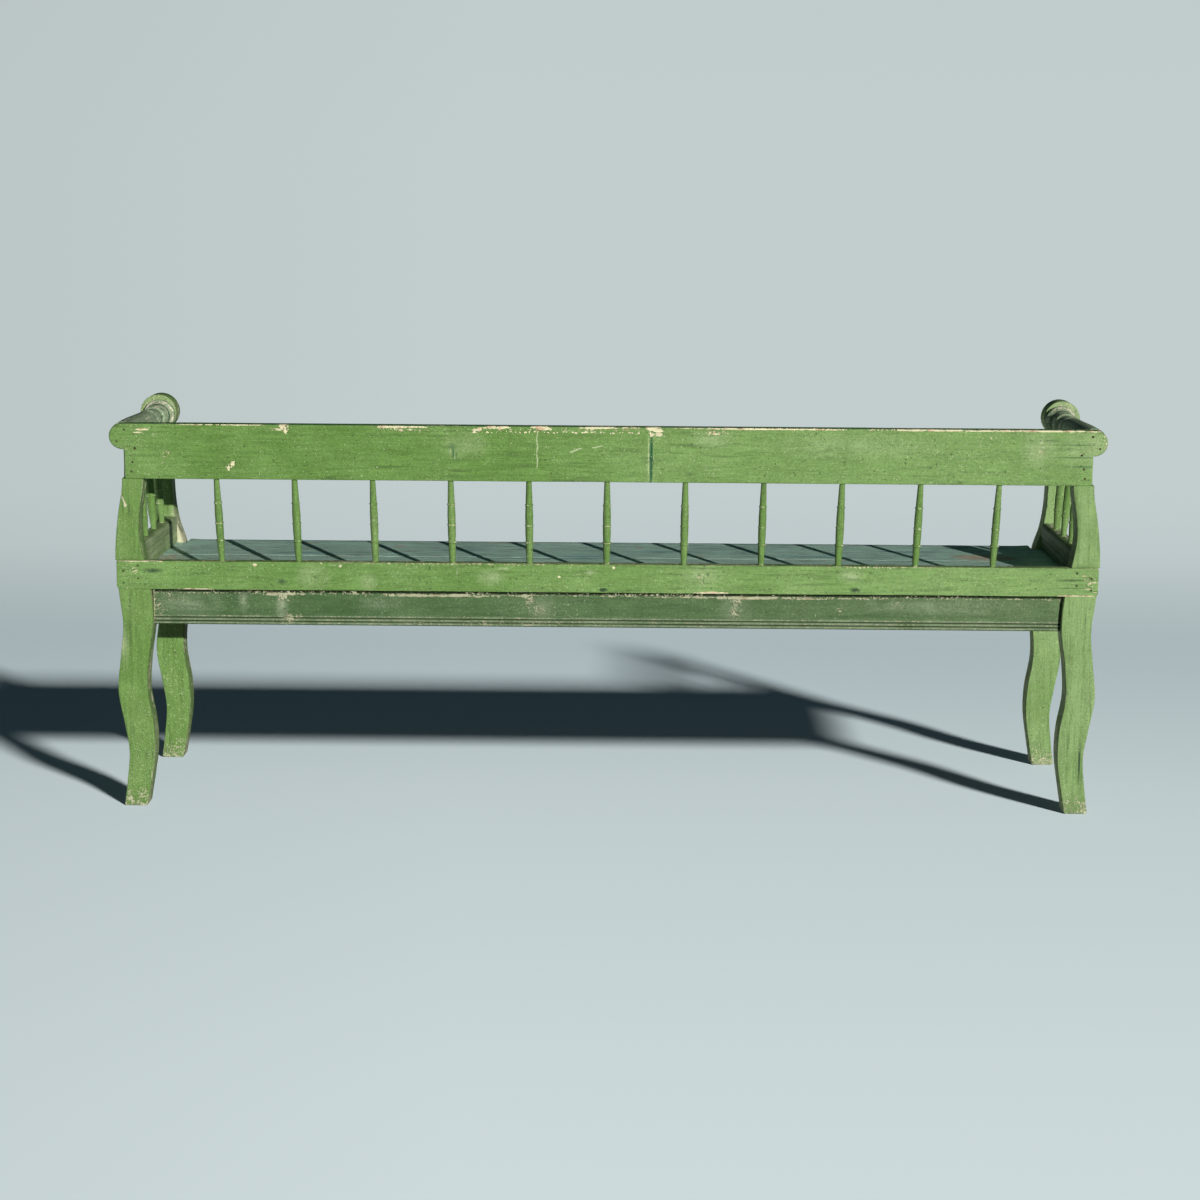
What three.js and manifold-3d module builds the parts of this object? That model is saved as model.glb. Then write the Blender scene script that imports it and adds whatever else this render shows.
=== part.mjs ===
// A deacon's bench: a long seat on four S-curved plank posts, with a low spindle back,
// spindle ends and turned arm rolls. Millimetres, +Z up, +X along the bench, the back at -Y.
// The origin is on the floor, midway along the bench and midway through its depth.
import * as THREE from 'three';
import { mergeVertices } from 'three/addons/utils/BufferGeometryUtils.js';
import Module from 'manifold-3d';

const wasm = await Module();
wasm.setup();

// Driving dimensions: the whole bench
const overallLength = 1830;      // from ear to ear of the back's top rail
const frameDepth = 432;          // over the outer faces of the back and front posts
const seatHeight = 442;          // floor to the top of the seat
const backOpening = 153;         // clear height between the back's two rails
const fit = 0.3;                 // air left all round a seated piece
const overrun = 5;               // how far a cut runs past the face it opens

// Posts
const postThickness = 46;
const postWidth = 60;            // the stock's width, nearly reached at the seat
const postInset = 14;            // mean centre line of a post inside the arm's axis
const postSway = 9;              // half the swing of the S curve
const headRadius = 35.5;         // round head of a front post
const headOut = 4;               // centre of the head outside the arm's axis
const headRise = 4;              // and above it
const backPostDrop = 14;         // top of a back post below the arm's axis

// Back rails
const railThickness = 25;
const railProud = 4;             // how far both rails stand out of the posts' backs
const earRadius = 24;            // round end of the top rail
const earStep = 4;               // square end under the ear, inside the ear's centre
const topRailHeight = 102;
const lowerRailHeight = 53;
const lowerRailRise = 25;        // top of the lower rail above the seat
const lowerCornerRadius = 7;

// Aprons and battens under the seat
const apronHeight = 66;
const apronThickness = 22;
const beadCount = 2;             // beads run along the lower edge of the long aprons
const beadPitch = 6.6;
const beadDepth = 2;
const tenonThickness = 10;
const tenonHeight = 44;
const tenonWall = 5;             // wood left in a post beside a long apron's tenon
const sideTenonLength = 18;
const battenWidth = 44;
const battenHeight = 32;
const battenHousing = 8;

// Seat
const seatThickness = 30;
const seatOverhang = 4;          // front edge past the front posts
const seatJoint = 1;             // line between the two boards
const seatEndInset = 14;         // ends of the boards inside the lower rail's ends
const noseRadius = 9;

// End rails above the seat
const endRailThickness = 29;
const endRailHeight = 52;
const endTenonHeight = 34;
const endTenonLength = 16;

// Arm rolls
const rollRadius = 25.5;
const rimRadius = 30.5;
const backDowelRadius = 8;
const backDowelLength = 12;
const frontDowelRadius = 10;
const frontDowelLength = 26;

// Spindles
const backSpindleCount = 11;
const endBay = 164.5;            // from the outermost back spindle to the middle of its post
const spindleFan = 1.5;          // extra pitch at the top, so the outer ones lean out
const spindleEndRadius = 5;
const backBellyRadius = 7.6;
const endBellyRadius = 8.8;
const spindleTenon = 14;
const endSpindleCount = 3;

// Nails
const nailRadius = 1.5;
const nailHeadRadius = 3;
const nailHeadHeight = 1.2;
const nailLength = 45;
const nailPointLength = 5;
const earNailOrbit = 13.2;       // nails stand round the dowel in an ear

// Post outline, [height, sway, width]: height is a share of the seat height in the leg and of
// the way from the seat to the arm's axis above it; the others are shares of sway and width
const legShares = [
  [0, 0.55, 0.72], [0.12, -0.35, 0.75], [0.24, -0.97, 0.8], [0.36, -0.45, 0.9], [0.5, 0.62, 0.91],
  [0.64, 0.1, 0.87], [0.78, -0.72, 0.92], [0.9, -0.35, 0.98], [1, 0.3, 0.95],
];
const backUpperShares = [
  [0.15, 0.8, 0.83], [0.3, 0.95, 0.69], [0.46, 0.55, 0.635], [0.62, -0.2, 0.63], [0.78, -0.45, 0.65],
];
const frontUpperShares = [
  [0.15, 1.25, 0.83], [0.3, 1.5, 0.69], [0.46, 1.6, 0.635], [0.62, 1.6, 0.62], [0.78, 1.57, 0.64],
];

// Turned outlines, [length, radius]: shares of the length between the shoulders and of the
// belly's, roll's or rim's radius
const backSpindleShares = [
  [0.24, 0.93], [0.25, 1.07], [0.26, 0.94], [0.45, 1], [0.46, 1.05], [0.47, 0.98], [0.7, 0.9],
  [0.71, 1.02], [0.72, 0.88], [0.92, 0.72],
];
const endSpindleShares = [
  [0.205, 0.86], [0.215, 1.06], [0.225, 0.86], [0.35, 0.96], [0.36, 1.1], [0.37, 0.92], [0.66, 0.9],
  [0.67, 1.02], [0.68, 0.86], [0.93, 0.66],
];
const rollShares = [
  [0, 0.97], [0.015, 1], [0.2, 1], [0.4, 0.93], [0.59, 0.86], [0.605, 0.74], [0.622, 0.85], [0.645, 0.9],
  [0.668, 0.85], [0.685, 0.72], [0.74, 0.7], [0.79, 0.76], [0.805, 0.88], [0.83, 0.93],
  [0.855, 0.88], [0.868, 0.75],
];
const rimShares = [[0.9, 0.68], [0.93, 0.78], [0.952, 0.92], [0.964, 1], [0.99, 1], [1, 0.95]];

// Nails in the posts, [across, up]: shares of the post's width and of the rail's height
const topNailShares = [[-0.17, 0.55], [-0.09, 0.3], [-0.05, 0.13]];
const lowerNailShares = [[-0.17, 0.83], [-0.17, 0.38], [0.28, 0.64], [0.28, 0.22]];
const earNailShares = [0.31, 0.87];          // of a full turn about the ear's centre
const battenShares = [-0.64, 0, 0.64];       // of the distance from the middle to a post

// How finely the curves are cut
const edgeSteps = 34;
const arcSteps = 18;
const beadSteps = 4;
const spindleSides = 10;
const rollSides = 20;
const nailSides = 6;

// Places that follow from the sizes
const armX = overallLength / 2 - earRadius;
const headX = armX + headOut;
const postX = armX - postInset;
const postY = (frameDepth - postThickness) / 2;
const postInnerY = postY - postThickness / 2;
const railY = frameDepth / 2 + railProud - railThickness / 2;
const railFrontY = railY - railThickness / 2;
const lowerRailEnd = postX + postWidth / 2;
const lowerRailTop = seatHeight + lowerRailRise;
const lowerRailBottom = lowerRailTop - lowerRailHeight;
const topRailBottom = lowerRailTop + backOpening;
const topRailTop = topRailBottom + topRailHeight;
const armHeight = topRailTop - earRadius;       // axis of the arm rolls
const seatBottom = seatHeight - seatThickness;
const apronTop = seatBottom - fit;
const apronZ = apronTop - apronHeight / 2;
const endRailTop = seatHeight + fit + endRailHeight;
const endRailZ = endRailTop - endRailHeight / 2;
const backPostTop = armHeight - backPostDrop;
const rollStart = -railFrontY + fit;
const rollLength = postInnerY - fit - rollStart;

// Paints and metal
const leafGreen = { color: 0x7fa65a, roughness: 0.62, metalness: 0 };
const mossGreen = { color: 0x5f8258, roughness: 0.66, metalness: 0 };
const slateGreen = { color: 0x64787a, roughness: 0.6, metalness: 0 };
const tealGreen = { color: 0x587a66, roughness: 0.6, metalness: 0 };
const bareWood = { color: 0xa98d68, roughness: 0.8, metalness: 0 };
const darkIron = { color: 0x38342f, roughness: 0.7, metalness: 0.6 };

const bench = new THREE.Group();
bench.name = 'deacons_bench';
bench.position.y = (railProud - seatOverhang) / 2;

function piece(name, geometry, finish, x, y, z) {
  const mesh = new THREE.Mesh(geometry, new THREE.MeshStandardMaterial(finish));
  mesh.name = name;
  mesh.position.set(x, y, z);
  bench.add(mesh);
  return mesh;
}

// A shape that only joins or cuts a piece
function tool(geometry, x, y, z) {
  const mesh = new THREE.Mesh(geometry);
  mesh.position.set(x, y, z);
  return mesh;
}

// Joins and cuts happen where the pieces stand in the bench
function solidOf(mesh) {
  mesh.updateMatrix();
  const bare = mesh.geometry.clone();
  bare.deleteAttribute('normal');
  bare.deleteAttribute('uv');
  const placed = mergeVertices(bare).applyMatrix4(mesh.matrix);
  const vertProperties = new Float32Array(placed.attributes.position.array);
  const triVerts = new Uint32Array(placed.index.array);
  return new wasm.Manifold(new wasm.Mesh({ numProp: 3, vertProperties, triVerts }));
}

function takeSolid(mesh, solid) {
  const { vertProperties, triVerts } = solid.getMesh();
  const geometry = new THREE.BufferGeometry();
  geometry.setAttribute('position', new THREE.BufferAttribute(new Float32Array(vertProperties), 3));
  geometry.setIndex(new THREE.BufferAttribute(new Uint32Array(triVerts), 1));
  geometry.applyMatrix4(mesh.matrix.clone().invert());
  geometry.computeVertexNormals();
  mesh.geometry = geometry;
}

function join(mesh, extra) {
  takeSolid(mesh, solidOf(mesh).add(solidOf(extra)));
}

const cuts = new Map();
function cut(mesh, ...cutters) {
  cuts.set(mesh, [...(cuts.get(mesh) ?? []), ...cutters]);
}

// An outline in X and Z becomes a plank, centred on its thickness in Y
function plank(outline, thickness) {
  const shape = new THREE.Shape(outline);
  const geometry = new THREE.ExtrudeGeometry(shape, { depth: thickness, bevelEnabled: false });
  return geometry.translate(0, 0, -thickness / 2).rotateX(Math.PI / 2);
}

// A section in Y and Z becomes a moulding, centred on its length in X
function moulding(section, length) {
  const shape = new THREE.Shape(section);
  const geometry = new THREE.ExtrudeGeometry(shape, { depth: length, bevelEnabled: false });
  const alongX = new THREE.Matrix4().makeBasis(
    new THREE.Vector3(0, 1, 0), new THREE.Vector3(0, 0, 1), new THREE.Vector3(1, 0, 0));
  return geometry.translate(0, 0, -length / 2).applyMatrix4(alongX);
}

// A turning about Z from [radius, height] pairs, closed on its axis at both ends
function turning(profile, sides) {
  const points = profile.map(([radius, height]) => new THREE.Vector2(radius, height));
  points.unshift(new THREE.Vector2(0, profile[0][1]));
  points.push(new THREE.Vector2(0, profile.at(-1)[1]));
  return new THREE.LatheGeometry(points, sides).rotateX(Math.PI / 2);
}

function arc(x, y, radius, from, to, steps) {
  const points = [];
  for (let i = 0; i <= steps; i++) {
    const angle = from + (to - from) * i / steps;
    points.push(new THREE.Vector2(x + radius * Math.cos(angle), y + radius * Math.sin(angle)));
  }
  return points;
}

function mirrored(outline, side) {
  return outline.map((point) => new THREE.Vector2(side * point.x, point.y));
}

const ends = [['left', -1], ['right', 1]];

// Posts: each is sawn from one plank whose long edges swing in X
function postEdges(upperShares) {
  const upperHeight = armHeight - seatHeight;
  const stations = [
    ...legShares.map(([up, sway, width]) => [up * seatHeight, sway, width]),
    ...upperShares.map(([up, sway, width]) => [seatHeight + up * upperHeight, sway, width]),
  ];
  const edge = (side) => new THREE.SplineCurve(stations.map(([z, sway, width]) => (
    new THREE.Vector2(postX + sway * postSway + side * width * postWidth / 2, z)
  ))).getPoints(edgeSteps);
  return { inner: edge(-1), outer: edge(1) };
}

const backEdges = postEdges(backUpperShares);
const frontEdges = postEdges(frontUpperShares);

function edgeAt(edge, z) {
  const next = edge.findIndex((point) => point.y >= z);
  const [below, above] = [edge[next - 1], edge[next]];
  return below.x + (above.x - below.x) * (z - below.y) / (above.y - below.y);
}

// How near the posts' inner edges come to the middle of the bench between two heights
function innerReach(low, high) {
  return Math.min(...[backEdges.inner, frontEdges.inner].flatMap((edge) => {
    const between = edge.filter((point) => point.y > low && point.y < high);
    return [edgeAt(edge, low), edgeAt(edge, high), ...between.map((point) => point.x)];
  }));
}

function backPostOutline() {
  const { inner, outer } = backEdges;
  const top = [outer.at(-1), inner.at(-1)].map((point) => new THREE.Vector2(point.x, backPostTop));
  return [...outer, ...top, ...inner.toReversed()];
}

// A front post runs up into a round head at the end of the arm
function frontPostOutline() {
  const { inner, outer } = frontEdges;
  const from = -Math.acos((outer.at(-1).x - headX) / headRadius);
  const to = Math.PI + Math.acos((headX - inner.at(-1).x) / headRadius);
  const head = arc(headX, armHeight + headRise, headRadius, from, to, arcSteps);
  return [...outer, ...head, ...inner.toReversed()];
}

const backPosts = ends.map(([name, side]) => piece(
  `post_back_${name}`, plank(mirrored(backPostOutline(), side), postThickness), leafGreen, 0, -postY, 0));
const frontPosts = ends.map(([name, side]) => piece(
  `post_front_${name}`, plank(mirrored(frontPostOutline(), side), postThickness), leafGreen, 0, postY, 0));

// Back rails: planks let into the backs of the posts, the top one ending in round ears
function topRailOutline() {
  const earFoot = -Math.acos(-earStep / earRadius);
  const right = [
    new THREE.Vector2(armX - earStep, topRailBottom),
    ...arc(armX, armHeight, earRadius, earFoot, Math.PI / 2, arcSteps),
  ];
  return [...right, ...mirrored(right, -1).toReversed()];
}

function lowerRailOutline() {
  const cornerX = lowerRailEnd - lowerCornerRadius;
  const cornerZ = lowerRailBottom + lowerCornerRadius;
  const right = [
    ...arc(cornerX, cornerZ, lowerCornerRadius, -Math.PI / 2, 0, beadSteps),
    new THREE.Vector2(lowerRailEnd, lowerRailTop),
  ];
  return [...right, ...mirrored(right, -1).toReversed()];
}

function housing(low, high) {
  const depth = railThickness - railProud + fit + overrun;
  const box = new THREE.BoxGeometry(overallLength, depth, high - low);
  return tool(box, 0, -frameDepth / 2 - overrun + depth / 2, (low + high) / 2);
}

const topRail = piece('back_top_rail', plank(topRailOutline(), railThickness), leafGreen, 0, -railY, 0);
const lowerRail = piece(
  'back_lower_rail', plank(lowerRailOutline(), railThickness), leafGreen, 0, -railY, 0);
for (const post of backPosts) {
  cut(post, housing(topRailBottom - fit, backPostTop + overrun));
  cut(post, housing(lowerRailBottom - fit, lowerRailTop + fit));
}

// Aprons: the long ones are beaded boards tenoned into the posts' inner edges
function apronSection(facing) {
  const face = facing * apronThickness / 2;
  const ground = face - facing * beadDepth;
  const low = -apronHeight / 2;
  const section = [new THREE.Vector2(-face, low), new THREE.Vector2(ground, low)];
  for (let step = 1; step <= beadCount * beadSteps; step++) {
    const along = step / beadSteps;
    const bulge = Math.abs(Math.sin(Math.PI * along)) * beadDepth;
    section.push(new THREE.Vector2(ground + facing * bulge, low + along * beadPitch));
  }
  const quirk = low + beadCount * beadPitch + beadDepth;
  section.push(new THREE.Vector2(face, quirk));
  section.push(new THREE.Vector2(face, apronHeight / 2), new THREE.Vector2(-face, apronHeight / 2));
  return section;
}

function tenon(x, y, z, grow = 0) {
  return new THREE.BoxGeometry(x + 2 * grow, y + 2 * grow, z + 2 * grow);
}

const apronReach = innerReach(apronTop - apronHeight, apronTop) - fit;
const apronTenonReach = postX - tenonThickness / 2 - tenonWall;
const longAprons = [['back', -1, backPosts], ['front', 1, frontPosts]].map(([name, facing, posts]) => {
  const y = facing * postY;
  const section = moulding(apronSection(facing), 2 * apronReach);
  const apron = piece(`${name}_apron`, section, mossGreen, 0, y, apronZ);
  const size = [2 * apronTenonReach, tenonThickness, tenonHeight];
  join(apron, tool(tenon(...size), 0, y, apronZ));
  for (const post of posts) cut(post, tool(tenon(...size, fit), 0, y, apronZ));
  return apron;
});

// The rails that run from back to front stand on the posts' mean centre line
function crossRail(name, side, thickness, height, z, tenonLength, tenonDepth, finish) {
  const x = side * postX;
  const body = new THREE.BoxGeometry(thickness, 2 * (postInnerY - fit), height);
  const rail = piece(name, body, finish, x, 0, z);
  const size = [tenonThickness, 2 * (postInnerY + tenonLength), tenonDepth];
  join(rail, tool(tenon(...size), x, 0, z));
  for (const post of [...backPosts, ...frontPosts]) cut(post, tool(tenon(...size, fit), x, 0, z));
  return rail;
}

for (const [name, side] of ends) {
  crossRail(`side_apron_${name}`, side, apronThickness, apronHeight, apronZ,
    sideTenonLength, tenonHeight, mossGreen);
}

// Battens: let into the long aprons from above, they carry the seat
const battenLength = 2 * (postY - apronThickness / 2 + battenHousing);
const battens = battenShares.map((share, index) => {
  const x = share * apronReach;
  const z = apronTop - battenHeight / 2;
  const batten = piece(`seat_batten_${index + 1}`,
    new THREE.BoxGeometry(battenWidth, battenLength, battenHeight), bareWood, x, 0, z);
  for (const apron of longAprons) {
    cut(apron, tool(tenon(battenWidth, battenLength, battenHeight + overrun, fit), x, 0, z + overrun / 2));
  }
  return batten;
});

// Seat: two boards, notched round the posts, the front one with a rounded nose
const seatBack = rollStart;
const seatFront = frameDepth / 2 + seatOverhang;
const boardWidth = (seatFront - seatBack - seatJoint) / 2;
const seatLength = 2 * (lowerRailEnd - seatEndInset);

function boardSection(nose) {
  const half = boardWidth / 2;
  const top = seatThickness / 2;
  const noseY = half - noseRadius;
  const noseZ = top - noseRadius;
  const square = [new THREE.Vector2(half, -top), new THREE.Vector2(half, top)];
  const round = [
    ...arc(noseY, -noseZ, noseRadius, -Math.PI / 2, 0, beadSteps),
    ...arc(noseY, noseZ, noseRadius, 0, Math.PI / 2, beadSteps),
  ];
  return [...(nose ? round : square), new THREE.Vector2(-half, top), new THREE.Vector2(-half, -top)];
}

const seatZ = seatHeight - seatThickness / 2;
const backBoardY = seatBack + boardWidth / 2;
const frontBoardY = seatFront - boardWidth / 2;
const boards = [
  piece('seat_board_back', moulding(boardSection(false), seatLength), slateGreen, 0, backBoardY, seatZ),
  piece('seat_board_front', moulding(boardSection(true), seatLength), slateGreen, 0, frontBoardY, seatZ),
];
const notchReach = innerReach(seatBottom, seatHeight) - fit;
const notchWidth = overallLength / 2 - notchReach;
const notchDepth = frameDepth / 2 + overrun - postInnerY + fit;
boards.forEach((board, index) => {
  const facing = index === 0 ? -1 : 1;
  for (const [, side] of ends) {
    const box = new THREE.BoxGeometry(notchWidth, notchDepth, seatThickness + overrun);
    const y = facing * (postInnerY - fit + notchDepth / 2);
    cut(board, tool(box, side * (notchReach + notchWidth / 2), y, seatZ));
  }
});

// End rails: they stand on the seat's ends and carry the end spindles
const endRails = ends.map(([name, side]) => crossRail(
  `end_rail_${name}`, side, endRailThickness, endRailHeight, endRailZ,
  endTenonLength, endTenonHeight, leafGreen));

// Arm rolls: turned, with a dowel into the rail's ear and one into the front post's head
const rollProfile = [
  ...rollShares.map(([along, radius]) => [radius * rollRadius, along * rollLength]),
  ...rimShares.map(([along, radius]) => [radius * rimRadius, along * rollLength]),
];

function rollRadiusAt(y) {
  const along = y - rollStart;
  const next = rollProfile.findIndex(([, length]) => length >= along);
  const [[r0, a0], [r1, a1]] = [rollProfile[next - 1], rollProfile[next]];
  return r0 + (r1 - r0) * (along - a0) / (a1 - a0);
}

function dowelledRoll() {
  const back = -backDowelLength;
  const front = rollLength + frontDowelLength;
  return turning([
    [backDowelRadius, back], [backDowelRadius, 0], ...rollProfile,
    [frontDowelRadius, rollLength], [frontDowelRadius, front],
  ], rollSides);
}

function lyingRod(radius, from, to, side) {
  const rod = new THREE.CylinderGeometry(radius, radius, to - from, rollSides);
  return tool(rod, side * armX, (from + to) / 2, armHeight);
}

const rolls = ends.map(([name, side], index) => {
  const roll = piece(`arm_roll_${name}`, dowelledRoll(), tealGreen, side * armX, rollStart, armHeight);
  roll.rotation.x = -Math.PI / 2;
  const dowelBack = rollStart - backDowelLength - fit;
  const dowelFront = rollStart + rollLength + frontDowelLength + fit;
  cut(topRail, lyingRod(backDowelRadius + fit, dowelBack, rollStart, side));
  cut(frontPosts[index], lyingRod(frontDowelRadius + fit, postInnerY - overrun, dowelFront, side));
  cut(backPosts[index], lyingRod(rollRadius + fit, rollStart - overrun, -postInnerY + overrun, side));
  return roll;
});

// Spindles: bamboo turnings whose round ends sit in bored holes
function spindle(name, shares, bellyRadius, length, finish, foot, lean, hosts) {
  const shaft = length - 2 * spindleTenon;
  const profile = [
    [spindleEndRadius, 0], [spindleEndRadius, spindleTenon],
    ...shares.map(([along, radius]) => [radius * bellyRadius, spindleTenon + along * shaft]),
    [spindleEndRadius, length - spindleTenon], [spindleEndRadius, length],
  ];
  const stick = piece(name, turning(profile, spindleSides), finish, foot.x, foot.y, foot.z);
  stick.rotation.y = lean;
  const boreRadius = spindleEndRadius + fit;
  const bore = tool(turning([[boreRadius, -fit], [boreRadius, length + fit]], spindleSides), 0, 0, 0);
  bore.position.copy(stick.position);
  bore.rotation.y = lean;
  for (const host of hosts) cut(host, bore);
}

const spindlePitch = 2 * (postX - endBay) / (backSpindleCount - 1);
for (let index = 0; index < backSpindleCount; index++) {
  const place = index - (backSpindleCount - 1) / 2;
  const shift = place * spindleFan;
  const lean = Math.atan2(shift, backOpening);
  const length = Math.hypot(shift, backOpening) + 2 * spindleTenon;
  const x = place * spindlePitch - spindleTenon * Math.sin(lean);
  const foot = new THREE.Vector3(x, -railY, lowerRailTop - spindleTenon * Math.cos(lean));
  spindle(`back_spindle_${index + 1}`, backSpindleShares, backBellyRadius, length, leafGreen, foot, lean,
    [lowerRail, topRail]);
}

ends.forEach(([name, side], end) => {
  for (let index = 0; index < endSpindleCount; index++) {
    const y = postInnerY * (2 * (index + 1) / (endSpindleCount + 1) - 1);
    const height = armHeight - rollRadiusAt(y) - endRailTop;
    const foot = new THREE.Vector3(side * postX, y, endRailTop - spindleTenon);
    const lean = Math.atan2(side * (armX - postX), height);
    const length = Math.hypot(armX - postX, height) + 2 * spindleTenon;
    spindle(`end_spindle_${name}_${index + 1}`, endSpindleShares, endBellyRadius, length, leafGreen,
      foot, lean, [endRails[end], rolls[end]]);
  }
});

// Nails: their flat heads are driven level with the wood
function nailGeometry(grow) {
  const mouth = grow > 0 ? -overrun : 0;
  const neck = nailHeadHeight + grow;
  return turning([
    [nailHeadRadius + grow, mouth], [nailHeadRadius + grow, neck], [nailRadius + grow, neck],
    [nailRadius + grow, nailLength - nailPointLength], [nailRadius / 2 + grow, nailLength + grow],
  ], nailSides);
}

function nail(name, x, y, z, turn, hosts) {
  const pin = piece(name, nailGeometry(0), darkIron, x, y, z);
  pin.rotation.x = turn;
  const hole = tool(nailGeometry(fit), x, y, z);
  hole.rotation.x = turn;
  for (const host of hosts) cut(host, hole);
}

const railFace = -frameDepth / 2 - railProud;
const intoBack = -Math.PI / 2;
const intoSeat = Math.PI;
ends.forEach(([name, side], end) => {
  topNailShares.forEach(([across, up], index) => {
    const x = side * (postX + across * postWidth);
    const z = topRailBottom + up * topRailHeight;
    nail(`nail_top_rail_${name}_${index + 1}`, x, railFace, z, intoBack, [topRail, backPosts[end]]);
  });
  lowerNailShares.forEach(([across, up], index) => {
    const x = side * (postX + across * postWidth);
    const z = lowerRailBottom + up * lowerRailHeight;
    nail(`nail_lower_rail_${name}_${index + 1}`, x, railFace, z, intoBack, [lowerRail, backPosts[end]]);
  });
  earNailShares.forEach((share, index) => {
    const angle = share * 2 * Math.PI;
    const x = side * (armX + earNailOrbit * Math.cos(angle));
    const z = armHeight + earNailOrbit * Math.sin(angle);
    nail(`nail_ear_${name}_${index + 1}`, x, railFace, z, intoBack, [topRail, rolls[end]]);
  });
});
battens.forEach((batten, index) => {
  const x = batten.position.x;
  nail(`nail_seat_back_${index + 1}`, x, backBoardY, seatHeight, intoSeat, [boards[0], batten]);
  nail(`nail_seat_front_${index + 1}`, x, frontBoardY, seatHeight, intoSeat, [boards[1], batten]);
});

for (const [mesh, cutters] of cuts) {
  const body = cutters.reduce((solid, cutter) => solid.subtract(solidOf(cutter)), solidOf(mesh));
  takeSolid(mesh, body);
}

export default bench;
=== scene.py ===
# A deacon's bench in old green paint, seen from behind. The frame gives the bench's sizes,
# and each section below makes one kind of piece and its finish. Metres, +Z up, back at -Y.
import math
from functools import reduce

import bmesh
import bpy
import numpy as np
from mathutils import Matrix, Vector, geometry, kdtree, noise


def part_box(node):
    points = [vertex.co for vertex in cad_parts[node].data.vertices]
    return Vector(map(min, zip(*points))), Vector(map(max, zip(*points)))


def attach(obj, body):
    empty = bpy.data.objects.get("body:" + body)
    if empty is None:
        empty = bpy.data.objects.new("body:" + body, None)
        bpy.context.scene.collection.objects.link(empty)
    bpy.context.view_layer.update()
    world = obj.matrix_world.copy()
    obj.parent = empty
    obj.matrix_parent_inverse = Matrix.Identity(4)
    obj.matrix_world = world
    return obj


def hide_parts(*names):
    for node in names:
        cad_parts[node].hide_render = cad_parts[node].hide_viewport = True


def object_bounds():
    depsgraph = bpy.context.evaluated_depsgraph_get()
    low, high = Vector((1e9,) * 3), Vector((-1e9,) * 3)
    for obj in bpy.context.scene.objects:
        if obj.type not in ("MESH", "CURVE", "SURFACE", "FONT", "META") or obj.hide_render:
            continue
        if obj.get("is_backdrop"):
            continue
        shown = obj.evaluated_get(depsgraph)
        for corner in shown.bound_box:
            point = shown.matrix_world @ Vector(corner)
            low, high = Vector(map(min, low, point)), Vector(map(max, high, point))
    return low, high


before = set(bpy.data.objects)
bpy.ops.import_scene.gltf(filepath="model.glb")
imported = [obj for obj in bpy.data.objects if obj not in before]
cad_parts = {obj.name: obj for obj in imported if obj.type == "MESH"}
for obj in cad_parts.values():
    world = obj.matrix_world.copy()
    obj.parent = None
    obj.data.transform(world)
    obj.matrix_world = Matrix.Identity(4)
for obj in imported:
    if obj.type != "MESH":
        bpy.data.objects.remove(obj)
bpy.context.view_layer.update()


# Camera: a long lens behind the bench at about head height, looking a little down and turned
# a touch to the left, as the photograph was taken.
def put_in_scene(name, data):
    thing = bpy.data.objects.new(name, data)
    bpy.context.scene.collection.objects.link(thing)
    return thing


focal_length, sensor_width = 75.97, 36
camera_place = (0.0405, -4.831, 1.2175)
camera_yaw, camera_dip, camera_roll = -0.0113, 0.1753, 0.0064
camera = put_in_scene("camera", bpy.data.cameras.new("camera"))
camera.data.lens, camera.data.sensor_width = focal_length, sensor_width
camera.matrix_world = (
    Matrix.Translation(camera_place) @ Matrix.Rotation(-camera_yaw, 4, "Z")
    @ Matrix.Rotation(math.pi / 2 - camera_dip, 4, "X") @ Matrix.Rotation(camera_roll, 4, "Z"))
bpy.context.scene.camera = camera
bpy.context.scene.view_settings.view_transform = "Standard"


# Studio: a faint dome and a pale blue-grey floor, whose far part only the camera sees, and four
# lamps. A low one behind the camera's right shoulder lights the bench, a higher one lays its
# shadow on the floor, and two weak ones keep the front and the left end readable.
class Value:
    """What a node gives. It can stand in a sum or feed another node."""

    def __init__(self, socket):
        self.socket = socket

    def __add__(self, other):
        return calc("ADD", self, other)

    def __sub__(self, other):
        return calc("SUBTRACT", self, other)

    def __rsub__(self, other):
        return calc("SUBTRACT", other, self)

    def __mul__(self, other):
        return calc("MULTIPLY", self, other)


def feed(node, inputs):
    for name, value in inputs.items():
        if isinstance(value, Value):
            node.id_data.links.new(value.socket, node.inputs[name])
        else:
            node.inputs[name].default_value = value


def add_node(tree, kind, inputs=None, **settings):
    node = tree.nodes.new(kind)
    for name, value in settings.items():
        setattr(node, name, value)
    feed(node, inputs or {})
    return node


def value_of(tree, kind, inputs=None, output=0, **settings):
    return Value(add_node(tree, kind, inputs, **settings).outputs[output])


def tree_of(*values):
    return next(value.socket.id_data for value in values if isinstance(value, Value))


def calc(operation, *values):
    return value_of(tree_of(*values), "ShaderNodeMath", dict(enumerate(values)), operation=operation)


def limited(value):
    """Keeps a sum between 0 and 1."""
    value.socket.node.use_clamp = True
    return value


def largest(*values):
    return reduce(lambda first, second: calc("MAXIMUM", first, second), values)


def vector(operation, *values, output=0):
    return value_of(tree_of(*values), "ShaderNodeVectorMath", dict(enumerate(values)), output,
                    operation=operation)


def part(place, axis):
    return value_of(tree_of(place), "ShaderNodeSeparateXYZ", {0: place}, axis)


def position(tree):
    return value_of(tree, "ShaderNodeTexCoord", output="Object")


def ramp(value, low, high, to_low=0.0, to_high=1.0, **settings):
    return value_of(tree_of(value), "ShaderNodeMapRange", {
        "Value": value, "From Min": low, "From Max": high, "To Min": to_low, "To Max": to_high}, **settings)


def blend(factor, first, second, mode="MIX"):
    return value_of(tree_of(factor, first, second), "ShaderNodeMix", {0: factor, 6: first, 7: second}, 2,
                    data_type="RGBA", blend_type=mode)


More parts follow.
